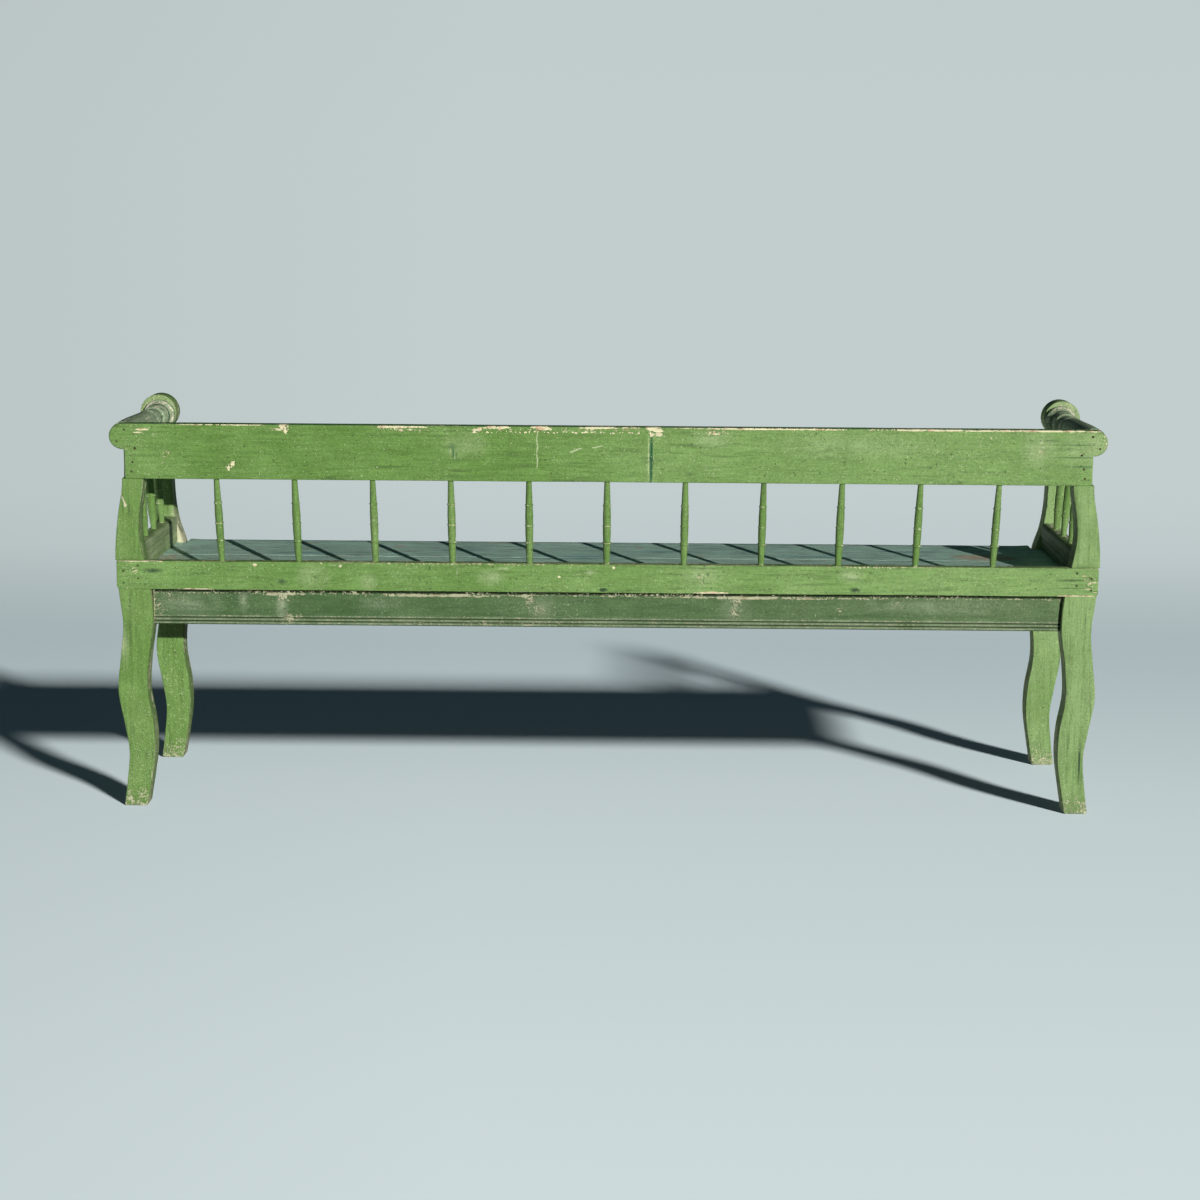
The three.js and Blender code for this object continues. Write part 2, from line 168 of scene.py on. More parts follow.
def tint(colour, by):
    return blend(1.0, colour, by, "MULTIPLY")


dome_colour, dome_low, dome_high = (0.42, 0.74, 1.0, 1), 0.021, 0.036
bounce_colour = (0.05, 0.055, 0.055, 1)
wall_colour = (0.539, 0.610, 0.617, 1)
open_colour = (0.631, 0.708, 0.716, 1)
shade_glow = (0.0105, 0.019, 0.024, 1)
floor_light = 2.33               # how brightly the lamps light the open floor
# The darker tones around 1.3 m behind are painted shadow, at the far edge of the bench's shadow.
floor_tones_with_shadow = [
    (-1.96, (0.631, 0.708, 0.716)), (-1.3, (0.591, 0.665, 0.672)), (-0.49, (0.546, 0.617, 0.624)),
    (0.2, (0.515, 0.585, 0.591)), (1.3, (0.380, 0.450, 0.466)), (1.9, (0.430, 0.503, 0.510)),
    (2.4, (0.462, 0.533, 0.539)), (2.9, (0.509, 0.584, 0.591)), (4.3, (0.539, 0.610, 0.617))]
tones_start, tones_end = -2.2, 5.0
fade_start, fade_end = 1.3, 2.6  # how far back the lit floor gives way to its own glow
ring_start, ring_end = 3.0, 7.0  # and how far out in any direction
dim_from, dim_start, dim_end, dim_most = 4.83, -0.25, -0.06, 0.93
side_start, side_end = 0.3, 0.8  # how far to the side the backdrop's tones give way to plain floor
wall_top, wall_top_dim = 0.12, 0.965
floor_half = 60
front_white = (0.95, 0.98, 1.0)
lamps = [                        # kind, course, strength, colour, whether it lights the floor, spread, place
    ("bench_lamp", "SUN", (-0.47, 1.0, -0.266), 3.90, (1.0, 0.965, 0.91), "EXCLUDE", 0.010, (0, 0, 0)),
    ("floor_lamp", "SUN", (-0.74, 1.0, -0.65), 15.0, (1.0, 1.0, 1.0), "INCLUDE", 0.10, (0, 0, 0)),
    ("front_lamp", "SUN", (0.15, -1.0, 0.32), 2.3, front_white, "EXCLUDE", 0.5, (0, 0, 0)),
    ("side_lamp", "AREA", (1.0, 0.0, 0.0), 6.0, front_white, "EXCLUDE", 0.5, (-2.1, 0.0, 0.40))]


def backdrop(tone, across, ahead, nearest, tones_from, tones_to):
    """A tone that dims to the left and turns into plain floor far to the side and behind."""
    bearing = calc("DIVIDE", across, calc("MAXIMUM", ahead, nearest))
    beside = ramp(calc("ABSOLUTE", bearing), side_start, side_end)
    dimmed = tint(tone, ramp(bearing, dim_start, dim_end, dim_most, 1.0))
    return blend(largest(beside, ramp(ahead, tones_from, tones_to)), dimmed, open_colour)


world = bpy.data.worlds.new("studio")
bpy.context.scene.world = world
world.use_nodes = True
tree = world.node_tree
tree.nodes.clear()
sight = value_of(tree, "ShaderNodeTexCoord", output="Generated")
height = part(sight, "Z")
dome = value_of(tree, "ShaderNodeBackground", {
    "Color": dome_colour, "Strength": ramp(height, 0.0, 1.0, dome_low, dome_high)})
wall = value_of(tree, "ShaderNodeBackground", {
    "Color": backdrop(wall_colour, part(sight, "X"), part(sight, "Y"), nearest=0.05,
                      tones_from=0.1, tones_to=-0.1),
    "Strength": ramp(height, 0.0, wall_top, 1.0, wall_top_dim)})
ray = add_node(tree, "ShaderNodeLightPath").outputs
seen = largest(Value(ray["Is Camera Ray"]), Value(ray["Is Transmission Ray"]))
choice = value_of(tree, "ShaderNodeMixShader", {0: seen, 1: dome, 2: wall})
add_node(tree, "ShaderNodeOutputWorld", {"Surface": choice})

floor_material = bpy.data.materials.new("studio_floor")
floor_material.use_nodes = True
tree = floor_material.node_tree
tree.nodes.clear()
place = position(tree)
behind = part(place, "Y")
tones = add_node(tree, "ShaderNodeValToRGB", {"Fac": ramp(behind, tones_start, tones_end)})
tones.color_ramp.interpolation = "B_SPLINE"
for k, (y, tone) in enumerate(floor_tones_with_shadow):
    at = (y - tones_start) / (tones_end - tones_start)
    stop = tones.color_ramp.elements[k] if k < 2 else tones.color_ramp.elements.new(at)
    stop.position, stop.color = at, (*tone, 1)
tone = backdrop(Value(tones.outputs["Color"]), part(place, "X"), behind + dim_from, nearest=0.5,
                tones_from=2.6, tones_to=1.6)
seen = value_of(tree, "ShaderNodeLightPath", output="Is Camera Ray")
lit = tint(tone, (1 / floor_light, 1 / floor_light, 1 / floor_light, 1))
floor_paint = value_of(tree, "ShaderNodeBsdfDiffuse", {"Color": blend(seen, bounce_colour, lit)})
shade = value_of(tree, "ShaderNodeEmission", {"Color": shade_glow, "Strength": seen})
near = value_of(tree, "ShaderNodeAddShader", {0: floor_paint, 1: shade})
glow = value_of(tree, "ShaderNodeEmission", {"Color": tone, "Strength": 1.0})
fade = ramp(behind, fade_start, fade_end, interpolation_type="SMOOTHERSTEP")
far = largest(fade, ramp(vector("LENGTH", place, output="Value"), ring_start, ring_end)) * seen
mixed = value_of(tree, "ShaderNodeMixShader", {0: far, 1: near, 2: glow})
add_node(tree, "ShaderNodeOutputMaterial", {"Surface": mixed})
floor_mesh = bpy.data.meshes.new("floor")
floor_mesh.from_pydata([(x * floor_half, y * floor_half, 0) for x, y in ((-1, -1), (1, -1), (1, 1), (-1, 1))],
                       [], [(0, 1, 2, 3)])
floor_mesh.materials.append(floor_material)
floor = put_in_scene("floor", floor_mesh)
floor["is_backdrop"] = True

for name, kind, course, strength, colour, floor_state, spread, place in lamps:
    light = bpy.data.lights.new(name, kind)
    light.energy, light.color = strength, colour
    setattr(light, "angle" if kind == "SUN" else "size", spread)
    lamp = put_in_scene(name, light)
    lamp.location = place
    lamp.rotation_mode = "QUATERNION"
    lamp.rotation_quaternion = Vector(course).to_track_quat("-Z", "Y")
    lit_things = bpy.data.collections.new(f"{name}_lights")
    lit_things.objects.link(floor)
    lit_things.collection_objects[0].light_linking.link_state = floor_state
    lamp.light_linking.receiver_collection = lit_things
    if floor_state == "EXCLUDE":
        lamp.light_linking.blocker_collection = lit_things
    lamp.visible_glossy = lamp.visible_camera = False


# Posts: four S-curved planks of pine, sawn to a pattern, their arrises softened by a spokeshave
# and by long use. The front pair run up into round heads, and the back pair are housed for the
# two back rails. Leaf green paint, chipped to cream along the edges and scuffed at the feet.
COLOUR, NUMBER, VECTOR = "NodeSocketColor", "NodeSocketFloat", "NodeSocketVector"
cream_coat = (0.86, 0.83, 0.55, 1)
pink_wood = (0.70, 0.50, 0.34, 1)
bare_pine = (0.36, 0.25, 0.15, 1)
pine_dust = (0.30, 0.28, 0.24, 1)
brown_dirt = (0.055, 0.085, 0.045, 1)
pit_dirt = (0.045, 0.065, 0.030, 1)


def new_group(name, inputs, outputs):
    """A shader group, and what it is given."""
    group = bpy.data.node_groups.new(name, "ShaderNodeTree")
    for label, kind, value in inputs:
        group.interface.new_socket(label, in_out="INPUT", socket_type=kind).default_value = value
    for label, kind in outputs:
        group.interface.new_socket(label, in_out="OUTPUT", socket_type=kind)
    return group, {s.name: Value(s) for s in group.nodes.new("NodeGroupInput").outputs}


def clouds(place, scale, detail=4.0, roughness=0.55):
    return value_of(tree_of(place), "ShaderNodeTexNoise", {
        "Vector": place, "Scale": scale, "Detail": detail, "Roughness": roughness})


# Bare wood: long fibres and rings, darkened by dust
wood_group, given = new_group("bare_wood_grain", [
    ("Wood", COLOUR, bare_pine), ("Grain", VECTOR, (8, 120, 120))], [("Color", COLOUR), ("Height", NUMBER)])
place = position(wood_group)
along = vector("MULTIPLY", place, given["Grain"])
fibre = clouds(along, 1.6, 6.0, 0.65)
rings = clouds(along, 0.35, 3.0) * 0.6 + fibre * 0.5
dark = tint(given["Wood"], (0.42, 0.40, 0.38, 1))
shade = blend(ramp(rings, 0.35, 0.75), dark, given["Wood"])
dusty = blend(ramp(clouds(place, 9.0), 0.5, 0.8, 0.0, 0.5), shade, pine_dust)
add_node(wood_group, "NodeGroupOutput", {"Color": dusty, "Height": fibre * 0.0003})

# Old paint over a cream coat: brush marks along the grain and faded clouds
paint_group, given = new_group("old_paint", [
    ("Paint", COLOUR, (0.1, 0.3, 0.1, 1)), ("Faded", COLOUR, (0.2, 0.4, 0.2, 1)),
    ("Undercoat", COLOUR, cream_coat), ("Wood", COLOUR, pink_wood), ("Pale", COLOUR, (0.50, 0.60, 0.36, 1)),
    ("Grain", VECTOR, (8, 120, 120)), ("Edge reach", NUMBER, 0.006), ("Edge wear", NUMBER, 0.5),
    ("Chips", NUMBER, 0.5), ("Specks", NUMBER, 0.3), ("Grime", NUMBER, 0.4), ("Foot wear", NUMBER, 0.0),
    ("Fade", NUMBER, 0.0), ("Chipped", NUMBER, 0.0), ("Rubbed and lit", NUMBER, 0.0), ("Smeared and lit", NUMBER, 0.0),
    ("Stained and shaded", NUMBER, 0.0), ("Stain", COLOUR, (0.045, 0.085, 0.045, 1)),
    ("Bare side", VECTOR, (0, 0, 0)), ("Worn side", VECTOR, (0, 0, 0)), ("Brush", NUMBER, 1.0)],
    [("Color", COLOUR), ("Roughness", NUMBER), ("Height", NUMBER)])
place = position(paint_group)
along = vector("MULTIPLY", place, given["Grain"])
edge = value_of(paint_group, "ShaderNodeAttribute", output="Fac", attribute_name="edge")
faces = value_of(paint_group, "ShaderNodeNewGeometry", output="Normal")
strokes = clouds(along, 1.0, 5.0, 0.6)
fine_strokes = clouds(along, 3.1, 5.0, 0.72)
broad = clouds(place, 5.0, 4.0, 0.6)
patchy = clouds(place, 24.0, 6.0, 0.62)
grit = clouds(place, 330.0, 3.0, 0.65)
gravel = ramp(grit, 0.36, 0.64)
fading = limited(ramp(broad * 0.7 + strokes * 0.45, 0.42, 0.78, 0.0, 0.8) + given["Fade"])
colour = blend(fading, given["Paint"], given["Faded"])
shade = given["Brush"] * (fine_strokes - 0.5) * 0.85 + ((patchy - 0.5) * 0.55 + 1.0)
colour = tint(colour, (grit - 0.5) * 0.95 + shade)

# Chalky smears and painted highlights, dirt in the brush marks, dark stains and painted shade, and pits
smear_and_light = limited(given["Smeared and lit"] * ramp(patchy, 0.3, 0.7, 0.2, 1.5) * ramp(grit, 0.35, 0.6, 0.4, 1.0))
dirt = limited(ramp(strokes, 0.5, 0.3) * ramp(patchy, 0.42, 0.62) * given["Grime"])
stain = limited(given["Stained and shaded"] * ramp(grit, 0.3, 0.6, 0.9, 1.9))
pits = limited(ramp(clouds(place, 190.0, 2.0), 0.335, 0.295) * given["Grime"])

# Pale flecks, gathered in clouds and thicker towards the feet
foot = part(place, "Z")
fleck = ramp(foot, 0.34, 0.03) * given["Foot wear"] * 0.035 + clouds(place, 380.0, 3.0, 0.6)
fleck = given["Specks"] * 0.065 + ((broad - 0.5) * 0.16 + fleck)
fleck = ramp(fleck, 0.695, 0.715) * 0.9
for cover, dirt_colour in ((smear_and_light, given["Pale"]), (dirt, brown_dirt), (stain, given["Stain"]),
                           (pits, pit_dirt), (fleck, given["Pale"])):
    colour = blend(cover, colour, dirt_colour)

# Where the paint is gone: along the arrises, on worn sides, in chips and at the feet, and in
# rubbed marks, a few of which are painted highlight
crumbs = ramp(clouds(place, 105.0, 6.0, 0.66), 0.32, 0.68)
ragged = crumbs * 0.4 + ramp(clouds(along, 0.8, 7.0, 0.68), 0.30, 0.70) * 0.6
side = largest(vector("DOT_PRODUCT", faces, given["Worn side"], output="Value"), 0.0)
away = limited(calc("DIVIDE", edge, given["Edge reach"]))
gone = (ragged + given["Edge wear"]) - (away * 0.62 + 1.0)
gone = limited(largest(gone, ragged + side - 1.08) * 16.0)
chips = clouds(place, 62.0, 6.0, 0.6) - ramp(given["Chips"], 0.0, 1.0, 0.80, 0.665)
chips = limited(chips * 60.0)
splinters = ramp(clouds(along, 2.2, 5.0, 0.7), 0.32, 0.68)
chipped = gravel * 0.5 + (splinters * 0.8 + (crumbs * 0.7 + 0.05))
chipped = given["Chipped"] * calc("POWER", chipped, 2.0)
chipped = limited((chipped - 0.30) * 18.0)
scuffed_rubbed_and_lit = largest(ramp(foot, 0.085, 0.0) * given["Foot wear"], given["Rubbed and lit"])
rubbed_and_lit = scuffed_rubbed_and_lit * 1.15 + (gravel * 0.6 + crumbs * 0.5)
rubbed_and_lit = limited((rubbed_and_lit - 1.16) * 6.0)
bare = largest(gone, chips, chipped, rubbed_and_lit)
coat = blend(ramp(clouds(place, 45.0, 5.0), 0.54, 0.64), given["Undercoat"], given["Wood"])
coat = tint(coat, ramp(fine_strokes, 0.3, 0.7, 0.62, 1.15))
colour = blend(bare, colour, coat)

# Faces that were never painted, and the relief of all of it in metres
unpainted = ramp(vector("DOT_PRODUCT", faces, given["Bare side"], output="Value"), 0.72, 0.78)
grain = value_of(paint_group, "ShaderNodeGroup", {"Wood": bare_pine, "Grain": given["Grain"]}, "Color",
                 node_tree=wood_group)
colour = blend(unpainted, colour, grain)
skin = 1.0 - largest(bare, unpainted)
relief = skin * 0.00045
for form, depth in ((given["Brush"] * strokes, 0.00055), (fine_strokes, 0.00030), (grit, 0.00022),
                    (patchy, 0.0011), (given["Stained and shaded"], -0.0008)):
    relief = form * depth + relief
gloss = ramp(patchy * 0.5 + skin * -0.35, -0.2, 0.5, 0.45, 0.85)
add_node(paint_group, "NodeGroupOutput", {"Color": colour, "Roughness": gloss, "Height": relief})

# A mark at a place of its own, strongest in the middle of an ellipsoid
mark_group, given = new_group("mark_at_a_place", [
    ("Centre", VECTOR, (0, 0, 0)), ("Reach", VECTOR, (0.01, 0.01, 0.01)), ("Strength", NUMBER, 1.0)],
    [("Mask", NUMBER)])
offset = vector("DIVIDE", vector("SUBTRACT", position(mark_group), given["Centre"]), given["Reach"])
inward = limited(1.0 - vector("LENGTH", offset, output="Value"))
add_node(mark_group, "NodeGroupOutput", {"Mask": inward * given["Strength"]})


def new_material(name):
    material = bpy.data.materials.new(name)
    material.use_nodes = True
    return material, material.node_tree


def coat_with(material, colour, roughness, height):
    """Feeds the material's own shader. The height is a relief in metres."""
    relief = value_of(material.node_tree, "ShaderNodeBump", {"Height": height, "Distance": 1.0})
    feed(material.node_tree.nodes["Principled BSDF"], {
        "Base Color": colour, "Roughness": roughness, "Normal": relief})
    return material


def painted(name, paint, faded, grain, marks=None, fade=None, **wear):
    """A coat of old paint as a material. marks holds, for each kind of mark, a list of
    (strength, centre, reach); fade is (axis, from, to, most)."""
    material, tree = new_material(name)
    inputs = {label.replace("_", " ").capitalize(): value for label, value in wear.items()}
    for kind, places in (marks or {}).items():
        inputs[kind] = largest(*[
            value_of(tree, "ShaderNodeGroup", {"Centre": centre, "Reach": reach, "Strength": strength},
                     node_tree=mark_group) for strength, centre, reach in places])
    if fade is not None:
        axis, low, high, most = fade
        inputs["Fade"] = ramp(part(position(tree), axis), low, high, 0.0, most)
    inputs |= {"Paint": paint, "Faded": faded, "Grain": grain}
    coat = add_node(tree, "ShaderNodeGroup", inputs, node_tree=paint_group).outputs
    return coat_with(material, *[Value(coat[label]) for label in ("Color", "Roughness", "Height")])


def on_face(y, *marks):
    """Marks on an upright face, each given as (strength, x, z, width, height) in millimetres."""
    return [(strength, (x / 1000, y, z / 1000), (wide / 1000, 0.02, tall / 1000))
            for strength, x, z, wide, tall in marks]


def soften(outline, radius, step):
    """Rounds an outline's corners and spaces points along it. Also gives its sharp corners."""
    corners, eased = [], []
    for i, here in enumerate(outline):
        a, b = outline[i - 1] - here, outline[(i + 1) % len(outline)] - here
        turn = math.pi - a.angle(b)
        if turn < math.radians(25):
            eased.append(here)
            continue
        a, b = a.normalized(), b.normalized()
        set_back = radius * math.tan(turn / 2)
        middle = here + (a + b).normalized() * radius / math.cos(turn / 2)
        if a.cross(b) < 0:
            corners.append(here + (middle - here).normalized() * radius * 0.3)
        first, last = here + a * set_back - middle, here + b * set_back - middle
        for k in range(4):
            eased.append(middle + first.normalized().slerp(last.normalized(), k / 3) * radius)
    spaced = []
    for i, here in enumerate(eased):
        span = eased[(i + 1) % len(eased)] - here
        parts = max(1, round(span.length / step))
        spaced += [here + span * k / parts for k in range(parts)]
    return spaced, corners


def inside(points, loop):
    """Which of the points lie inside the loop, by counting crossings."""
    x, y = points[:, 0], points[:, 1]
    within = np.zeros(len(points), bool)
    for (x1, y1), (x2, y2) in zip(loop, np.roll(loop, -1, axis=0)):
        if y1 != y2:
            within ^= ((y1 > y) != (y2 > y)) & (x < (x2 - x1) * (y - y1) / (y2 - y1) + x1)
    return within


def face_outward(form, mesh):
    bmesh.ops.recalc_face_normals(form, faces=form.faces)
    form.to_mesh(mesh)
    form.free()


noise.seed_set(11)               # without a seed of its own the wander differs in each run


def block(name, outline, depth, axes, material, seed, arris=0.0016, corner=0.003, step=0.006, grid=0.009,
          crests=(), nose=None, wander=0.0):
    """A piece of wood with one outline right through it, and its sharp lines. axes says which way the
    outline's two directions and the depth run; arris is the worn rounding along both faces' edges."""
    outline = [Vector(point) for point in outline]
    if sum(a.cross(b) for a, b in zip(outline, outline[1:] + outline[:1])) < 0:
        outline.reverse()
    loop, corners = soften(outline, corner, step)
    count = len(loop)
    normals, rounds = [], []
    for i, point in enumerate(loop):
        tangent = (loop[(i + 1) % count] - loop[i - 1]).normalized()
        normals.append(Vector((tangent.y, -tangent.x)))
        wear = noise.noise(Vector((point.x * 21 + seed, point.y * 21, seed)))
        dent = max(0.0, noise.noise(Vector((point.x * 75, point.y * 75, seed * 3.1))) - 0.35)
        extent = nose(point) if nose else arris
        rounds.append(min(extent * (1 + 0.35 * wear + 1.4 * dent), max(extent, corner * 0.9)))
    low, high = depth

    def ring(turn, level, side):
        points = []
        for point, normal, radius in zip(loop, normals, rounds):
            place = point - normal * (radius * (1 - math.cos(turn)))
            points.append((place.x, place.y, level - side * radius * (1 - math.sin(turn))))
        return points

    turns = [math.pi / 2 * k / 3 for k in (3, 2, 1, 0)]
    spans = max(1, round((high - low - 2 * max(rounds)) / (grid * 1.3)))
    rings = [ring(turn, low, -1) for turn in turns]
    rings += [[(p.x, p.y, (low + r) + ((high - r) - (low + r)) * (k / spans)) for p, r in zip(loop, rounds)]
              for k in range(1, spans)]
    rings += [ring(turn, high, 1) for turn in reversed(turns)]
    vertices = [vertex for points in rings for vertex in points]
    polygons = []
    for k in range(0, len(vertices) - count, count):
        for i in range(count):
            j = (i + 1) % count
            polygons.append((k + i, k + j, k + count + j, k + count + i))
    rim = np.array([(x, y) for x, y, _ in rings[0]])
    across, upward = [np.arange(line.min() + grid / 2, line.max(), grid) for line in rim.T]
    filling = np.array([(x, y) for x in across for y in upward]).reshape(-1, 2)
    filling = filling[inside(filling, rim)]
    gaps = np.min([np.hypot(filling[:, 0] - x, filling[:, 1] - y) for x, y in rim], axis=0)
    flat = [Vector(point) for point in (*rim, *filling[gaps > grid * 0.5])]
    points, _, triangles, origins, _, _ = geometry.delaunay_2d_cdt(flat, [], [list(range(count))], 1, 1e-7)
    for side, level, start in ((-1, low, 0), (1, high, len(vertices) - count)):
        places = []
        for point, origin in zip(points, origins):
            if origin and origin[0] < count:
                places.append(start + origin[0])
            else:
                places.append(len(vertices))
                vertices.append((point.x, point.y, level))
        polygons += [[places[k] for k in triangle][::side] for triangle in triangles]

    def upright(x, y, level):
        return Vector([(x, y, level)[axes.index(k)] for k in range(3)])

    placed = [upright(*vertex) for vertex in vertices]
    least, most = [[limit(vertex[k] for vertex in placed) for k in range(3)] for limit in (min, max)]
    for vertex in placed:
        drift = noise.noise_vector(vertex * 7 + Vector((seed, 0, 0))) * wander
        for k in range(3):
            vertex[k] = min(most[k], max(least[k], vertex[k] + drift[k]))
    mesh = bpy.data.meshes.new(name)
    mesh.from_pydata(placed, [], polygons)
    form = bmesh.new()
    form.from_mesh(mesh)
    face_outward(form, mesh)
    mesh.shade_smooth()
    mesh.materials.append(material)
    sharp = [upright(p.x, p.y, level) for level in depth for p in loop]
    sharp += [upright(*point, level)
              for point in (*corners, *crests) for level in np.arange(low, high, 0.004)]
    return put_in_scene(name, mesh), sharp


def keep_shape(piece, modifier):
    """Turns what a modifier makes of a piece into the piece's own mesh."""
    mesh = bpy.data.meshes.new_from_object(piece.evaluated_get(bpy.context.evaluated_depsgraph_get()))
    piece.modifiers.remove(modifier)
    piece.data = mesh


def notch(piece, low, high):
    """Cuts a box out of a piece, as a saw and chisel leave it."""
    low, high = Vector(low), Vector(high)
    form = bmesh.new()
    bmesh.ops.create_cube(form, size=1.0)
    bmesh.ops.transform(form, matrix=Matrix.Translation((high + low) / 2)
                        @ Matrix.Diagonal(high - low).to_4x4(), verts=form.verts)
    mesh = bpy.data.meshes.new("cutter")
    form.to_mesh(mesh)
    form.free()
    cutter = put_in_scene("cutter", mesh)
    saw = piece.modifiers.new("saw", "BOOLEAN")
    saw.operation, saw.solver, saw.object = "DIFFERENCE", "EXACT", cutter
    keep_shape(piece, saw)
    bpy.data.objects.remove(cutter)


def set_in_frame(piece, slot, *nodes):
    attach(piece, "root")
    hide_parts(*nodes)


def store_edge(mesh, distances):
    """Each vertex's distance to the nearest sharp line, which the paint's wear reads."""
    mesh.attributes.new("edge", "FLOAT", "POINT").data.foreach_set("value", distances)


def set_board(piece, sharp, slot, node):
    lines = kdtree.KDTree(len(sharp))
    for index, point in enumerate(sharp):
        lines.insert(point, index)
    lines.balance()
    store_edge(piece.data, [lines.find(vertex.co)[2] for vertex in piece.data.vertices])
    set_in_frame(piece, slot, node)


along_x, along_y, along_z = (9, 150, 150), (150, 9, 150), (150, 150, 9)
XZ_Y, XY_Z, YZ_X = (0, 2, 1), (0, 1, 2), (1, 2, 0)     # the outline's two directions, then the depth's
sides = {"left": -1, "right": 1}
fit = 0.0003
rail_low, rail_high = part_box("back_top_rail")
lower_low, lower_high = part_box("back_lower_rail")
seat_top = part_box("seat_board_back")[1].z
roll_low, roll_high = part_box("arm_roll_right")
arm_x = (roll_low.x + roll_high.x) / 2
arm_z = (roll_low.z + roll_high.z) / 2
post_inset, post_sway, post_width = 0.014, 0.009, 0.060
head_radius = 0.0355
head_x, head_z = arm_x + 0.004, arm_z + 0.004
post_x = arm_x - post_inset
leg_shares = [
    (0, 0.55, 0.72), (0.12, -0.35, 0.75), (0.24, -0.97, 0.8), (0.36, -0.45, 0.9), (0.5, 0.62, 0.91),
    (0.64, 0.1, 0.87), (0.78, -0.72, 0.92), (0.9, -0.35, 0.98), (1, 0.3, 0.95)]
back_upper_shares = [
    (0.15, 0.8, 0.83), (0.3, 0.95, 0.69), (0.46, 0.55, 0.635), (0.62, -0.2, 0.63), (0.78, -0.45, 0.65)]
front_upper_shares = [
    (0.15, 1.25, 0.83), (0.3, 1.5, 0.69), (0.46, 1.6, 0.635), (0.62, 1.6, 0.62), (0.78, 1.57, 0.64)]


def flowing(points, steps):
    """An even curve through the points."""
    curve = []
    for p0, p1, p2, p3 in zip(points[:1] + points, points, points[1:], points[2:] + points[-1:]):
        v1, v2 = (p2 - p0) / 2, (p3 - p1) / 2
        for t in [k / steps for k in range(steps)]:
            curve.append((p1 * 2 - p2 * 2 + v1 + v2) * t ** 3 + (p2 * 3 - p1 * 3 - v1 * 2 - v2) * t ** 2
                         + v1 * t + p1)
    return curve + [points[-1]]


def post_edges(upper_shares):
    stations = [(share * seat_top, sway, width) for share, sway, width in leg_shares]
    above = arm_z - seat_top
    stations += [(seat_top + share * above, sway, width) for share, sway, width in upper_shares]
    return [flowing([Vector((post_x + sway * post_sway + side * width * post_width / 2, z))
                     for z, sway, width in stations], 7) for side in (-1, 1)]


def arc(x, z, radius, start, end, steps):
    return [Vector((x + radius * math.cos(start + (end - start) * k / steps),
                    z + radius * math.sin(start + (end - start) * k / steps))) for k in range(steps + 1)]


def mirrored(outline, side=-1):
    return [Vector((side * point.x, point.y)) for point in outline]


inner_back, outer_back = post_edges(back_upper_shares)
inner_front, outer_front = post_edges(front_upper_shares)
back_post_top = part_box("post_back_right")[1].z
back_outline = outer_back + [Vector((edge[-1].x, back_post_top)) for edge in (outer_back, inner_back)]
back_outline += inner_back[::-1]
head_start = -math.acos((outer_front[-1].x - head_x) / head_radius)
head_end = math.pi + math.acos((head_x - inner_front[-1].x) / head_radius)
front_outline = outer_front + arc(head_x, head_z, head_radius, head_start, head_end, 40) + inner_front[::-1]

leaf_green = (0.120, 0.247, 0.052, 1)
faded_leaf = {"left": (0.200, 0.335, 0.112, 1), "right": (0.252, 0.392, 0.160, 1)}
post_fade = {"left": 0.1, "right": 1.6}
post_back = -0.216
for name, side in sides.items():
    head, flare = (side * head_x, 0.17, head_z), (-0.856, 0.18, 0.455)
    post_marks = {
        "Chipped": on_face(post_back, *[
            (2.2, -894.5 + 1.7 * k, 590 - 5 * k, 1.3 + 0.4 * k, 5) for k in range(5)]),
        "Stained and shaded": on_face(post_back, (0.9, 885, 100, 3, 50)),
        # The marks at the flare of the front-left post paint it pale: painted light, partly rubbed wear.
        "Rubbed and lit": [(0.80, head, (0.07, 0.03, 0.07)), (1.25, flare, (0.035, 0.06, 0.085))],
        "Smeared and lit": [(0.7, (-0.897, post_back, 0.30), (0.012, 0.02, 0.05)),
                    (0.7, head, (0.07, 0.03, 0.07)), (1.5, flare, (0.035, 0.06, 0.085))]}
    post_paint = painted(
        f"leaf_green_on_{name}_posts", leaf_green, faded_leaf[name], along_z, post_marks,
        fade=("Z", -1.0, 3.0, post_fade[name]), edge_reach=0.007, edge_wear=0.32, chips=0.34, specks=0.85,
        grime=0.65, foot_wear=0.62, worn_side=(-0.50 * side, 0, 0), undercoat=(0.66, 0.66, 0.46, 1),
        wood=(0.31, 0.31, 0.21, 1))
    for place, outline in (("back", back_outline), ("front", front_outline)):
        node = f"post_{place}_{name}"
        low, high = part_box(node)
        post, sharp = block(f"painted_{node}", mirrored(outline, side), (low.y, high.y), XZ_Y, post_paint,
                            seed=3 + side + 5 * (place == "back"), arris=0.0019, wander=0.0004)
        if place == "back":
            for z_low, z_high in ((rail_low.z - fit, 1.0), (lower_low.z - fit, lower_high.z + fit)):
                notch(post, (-2, -1, z_low), (2, rail_high.y + fit, z_high))
                x_low, x_high = side * post_x - post_width / 2, side * post_x + post_width / 2
                sharp += [Vector((x, low.y, z)) for x in np.arange(x_low, x_high, 0.004)
                          for z in (z_low, min(z_high, back_post_top))]
        set_board(post, sharp, "leaf_green_paint", node)


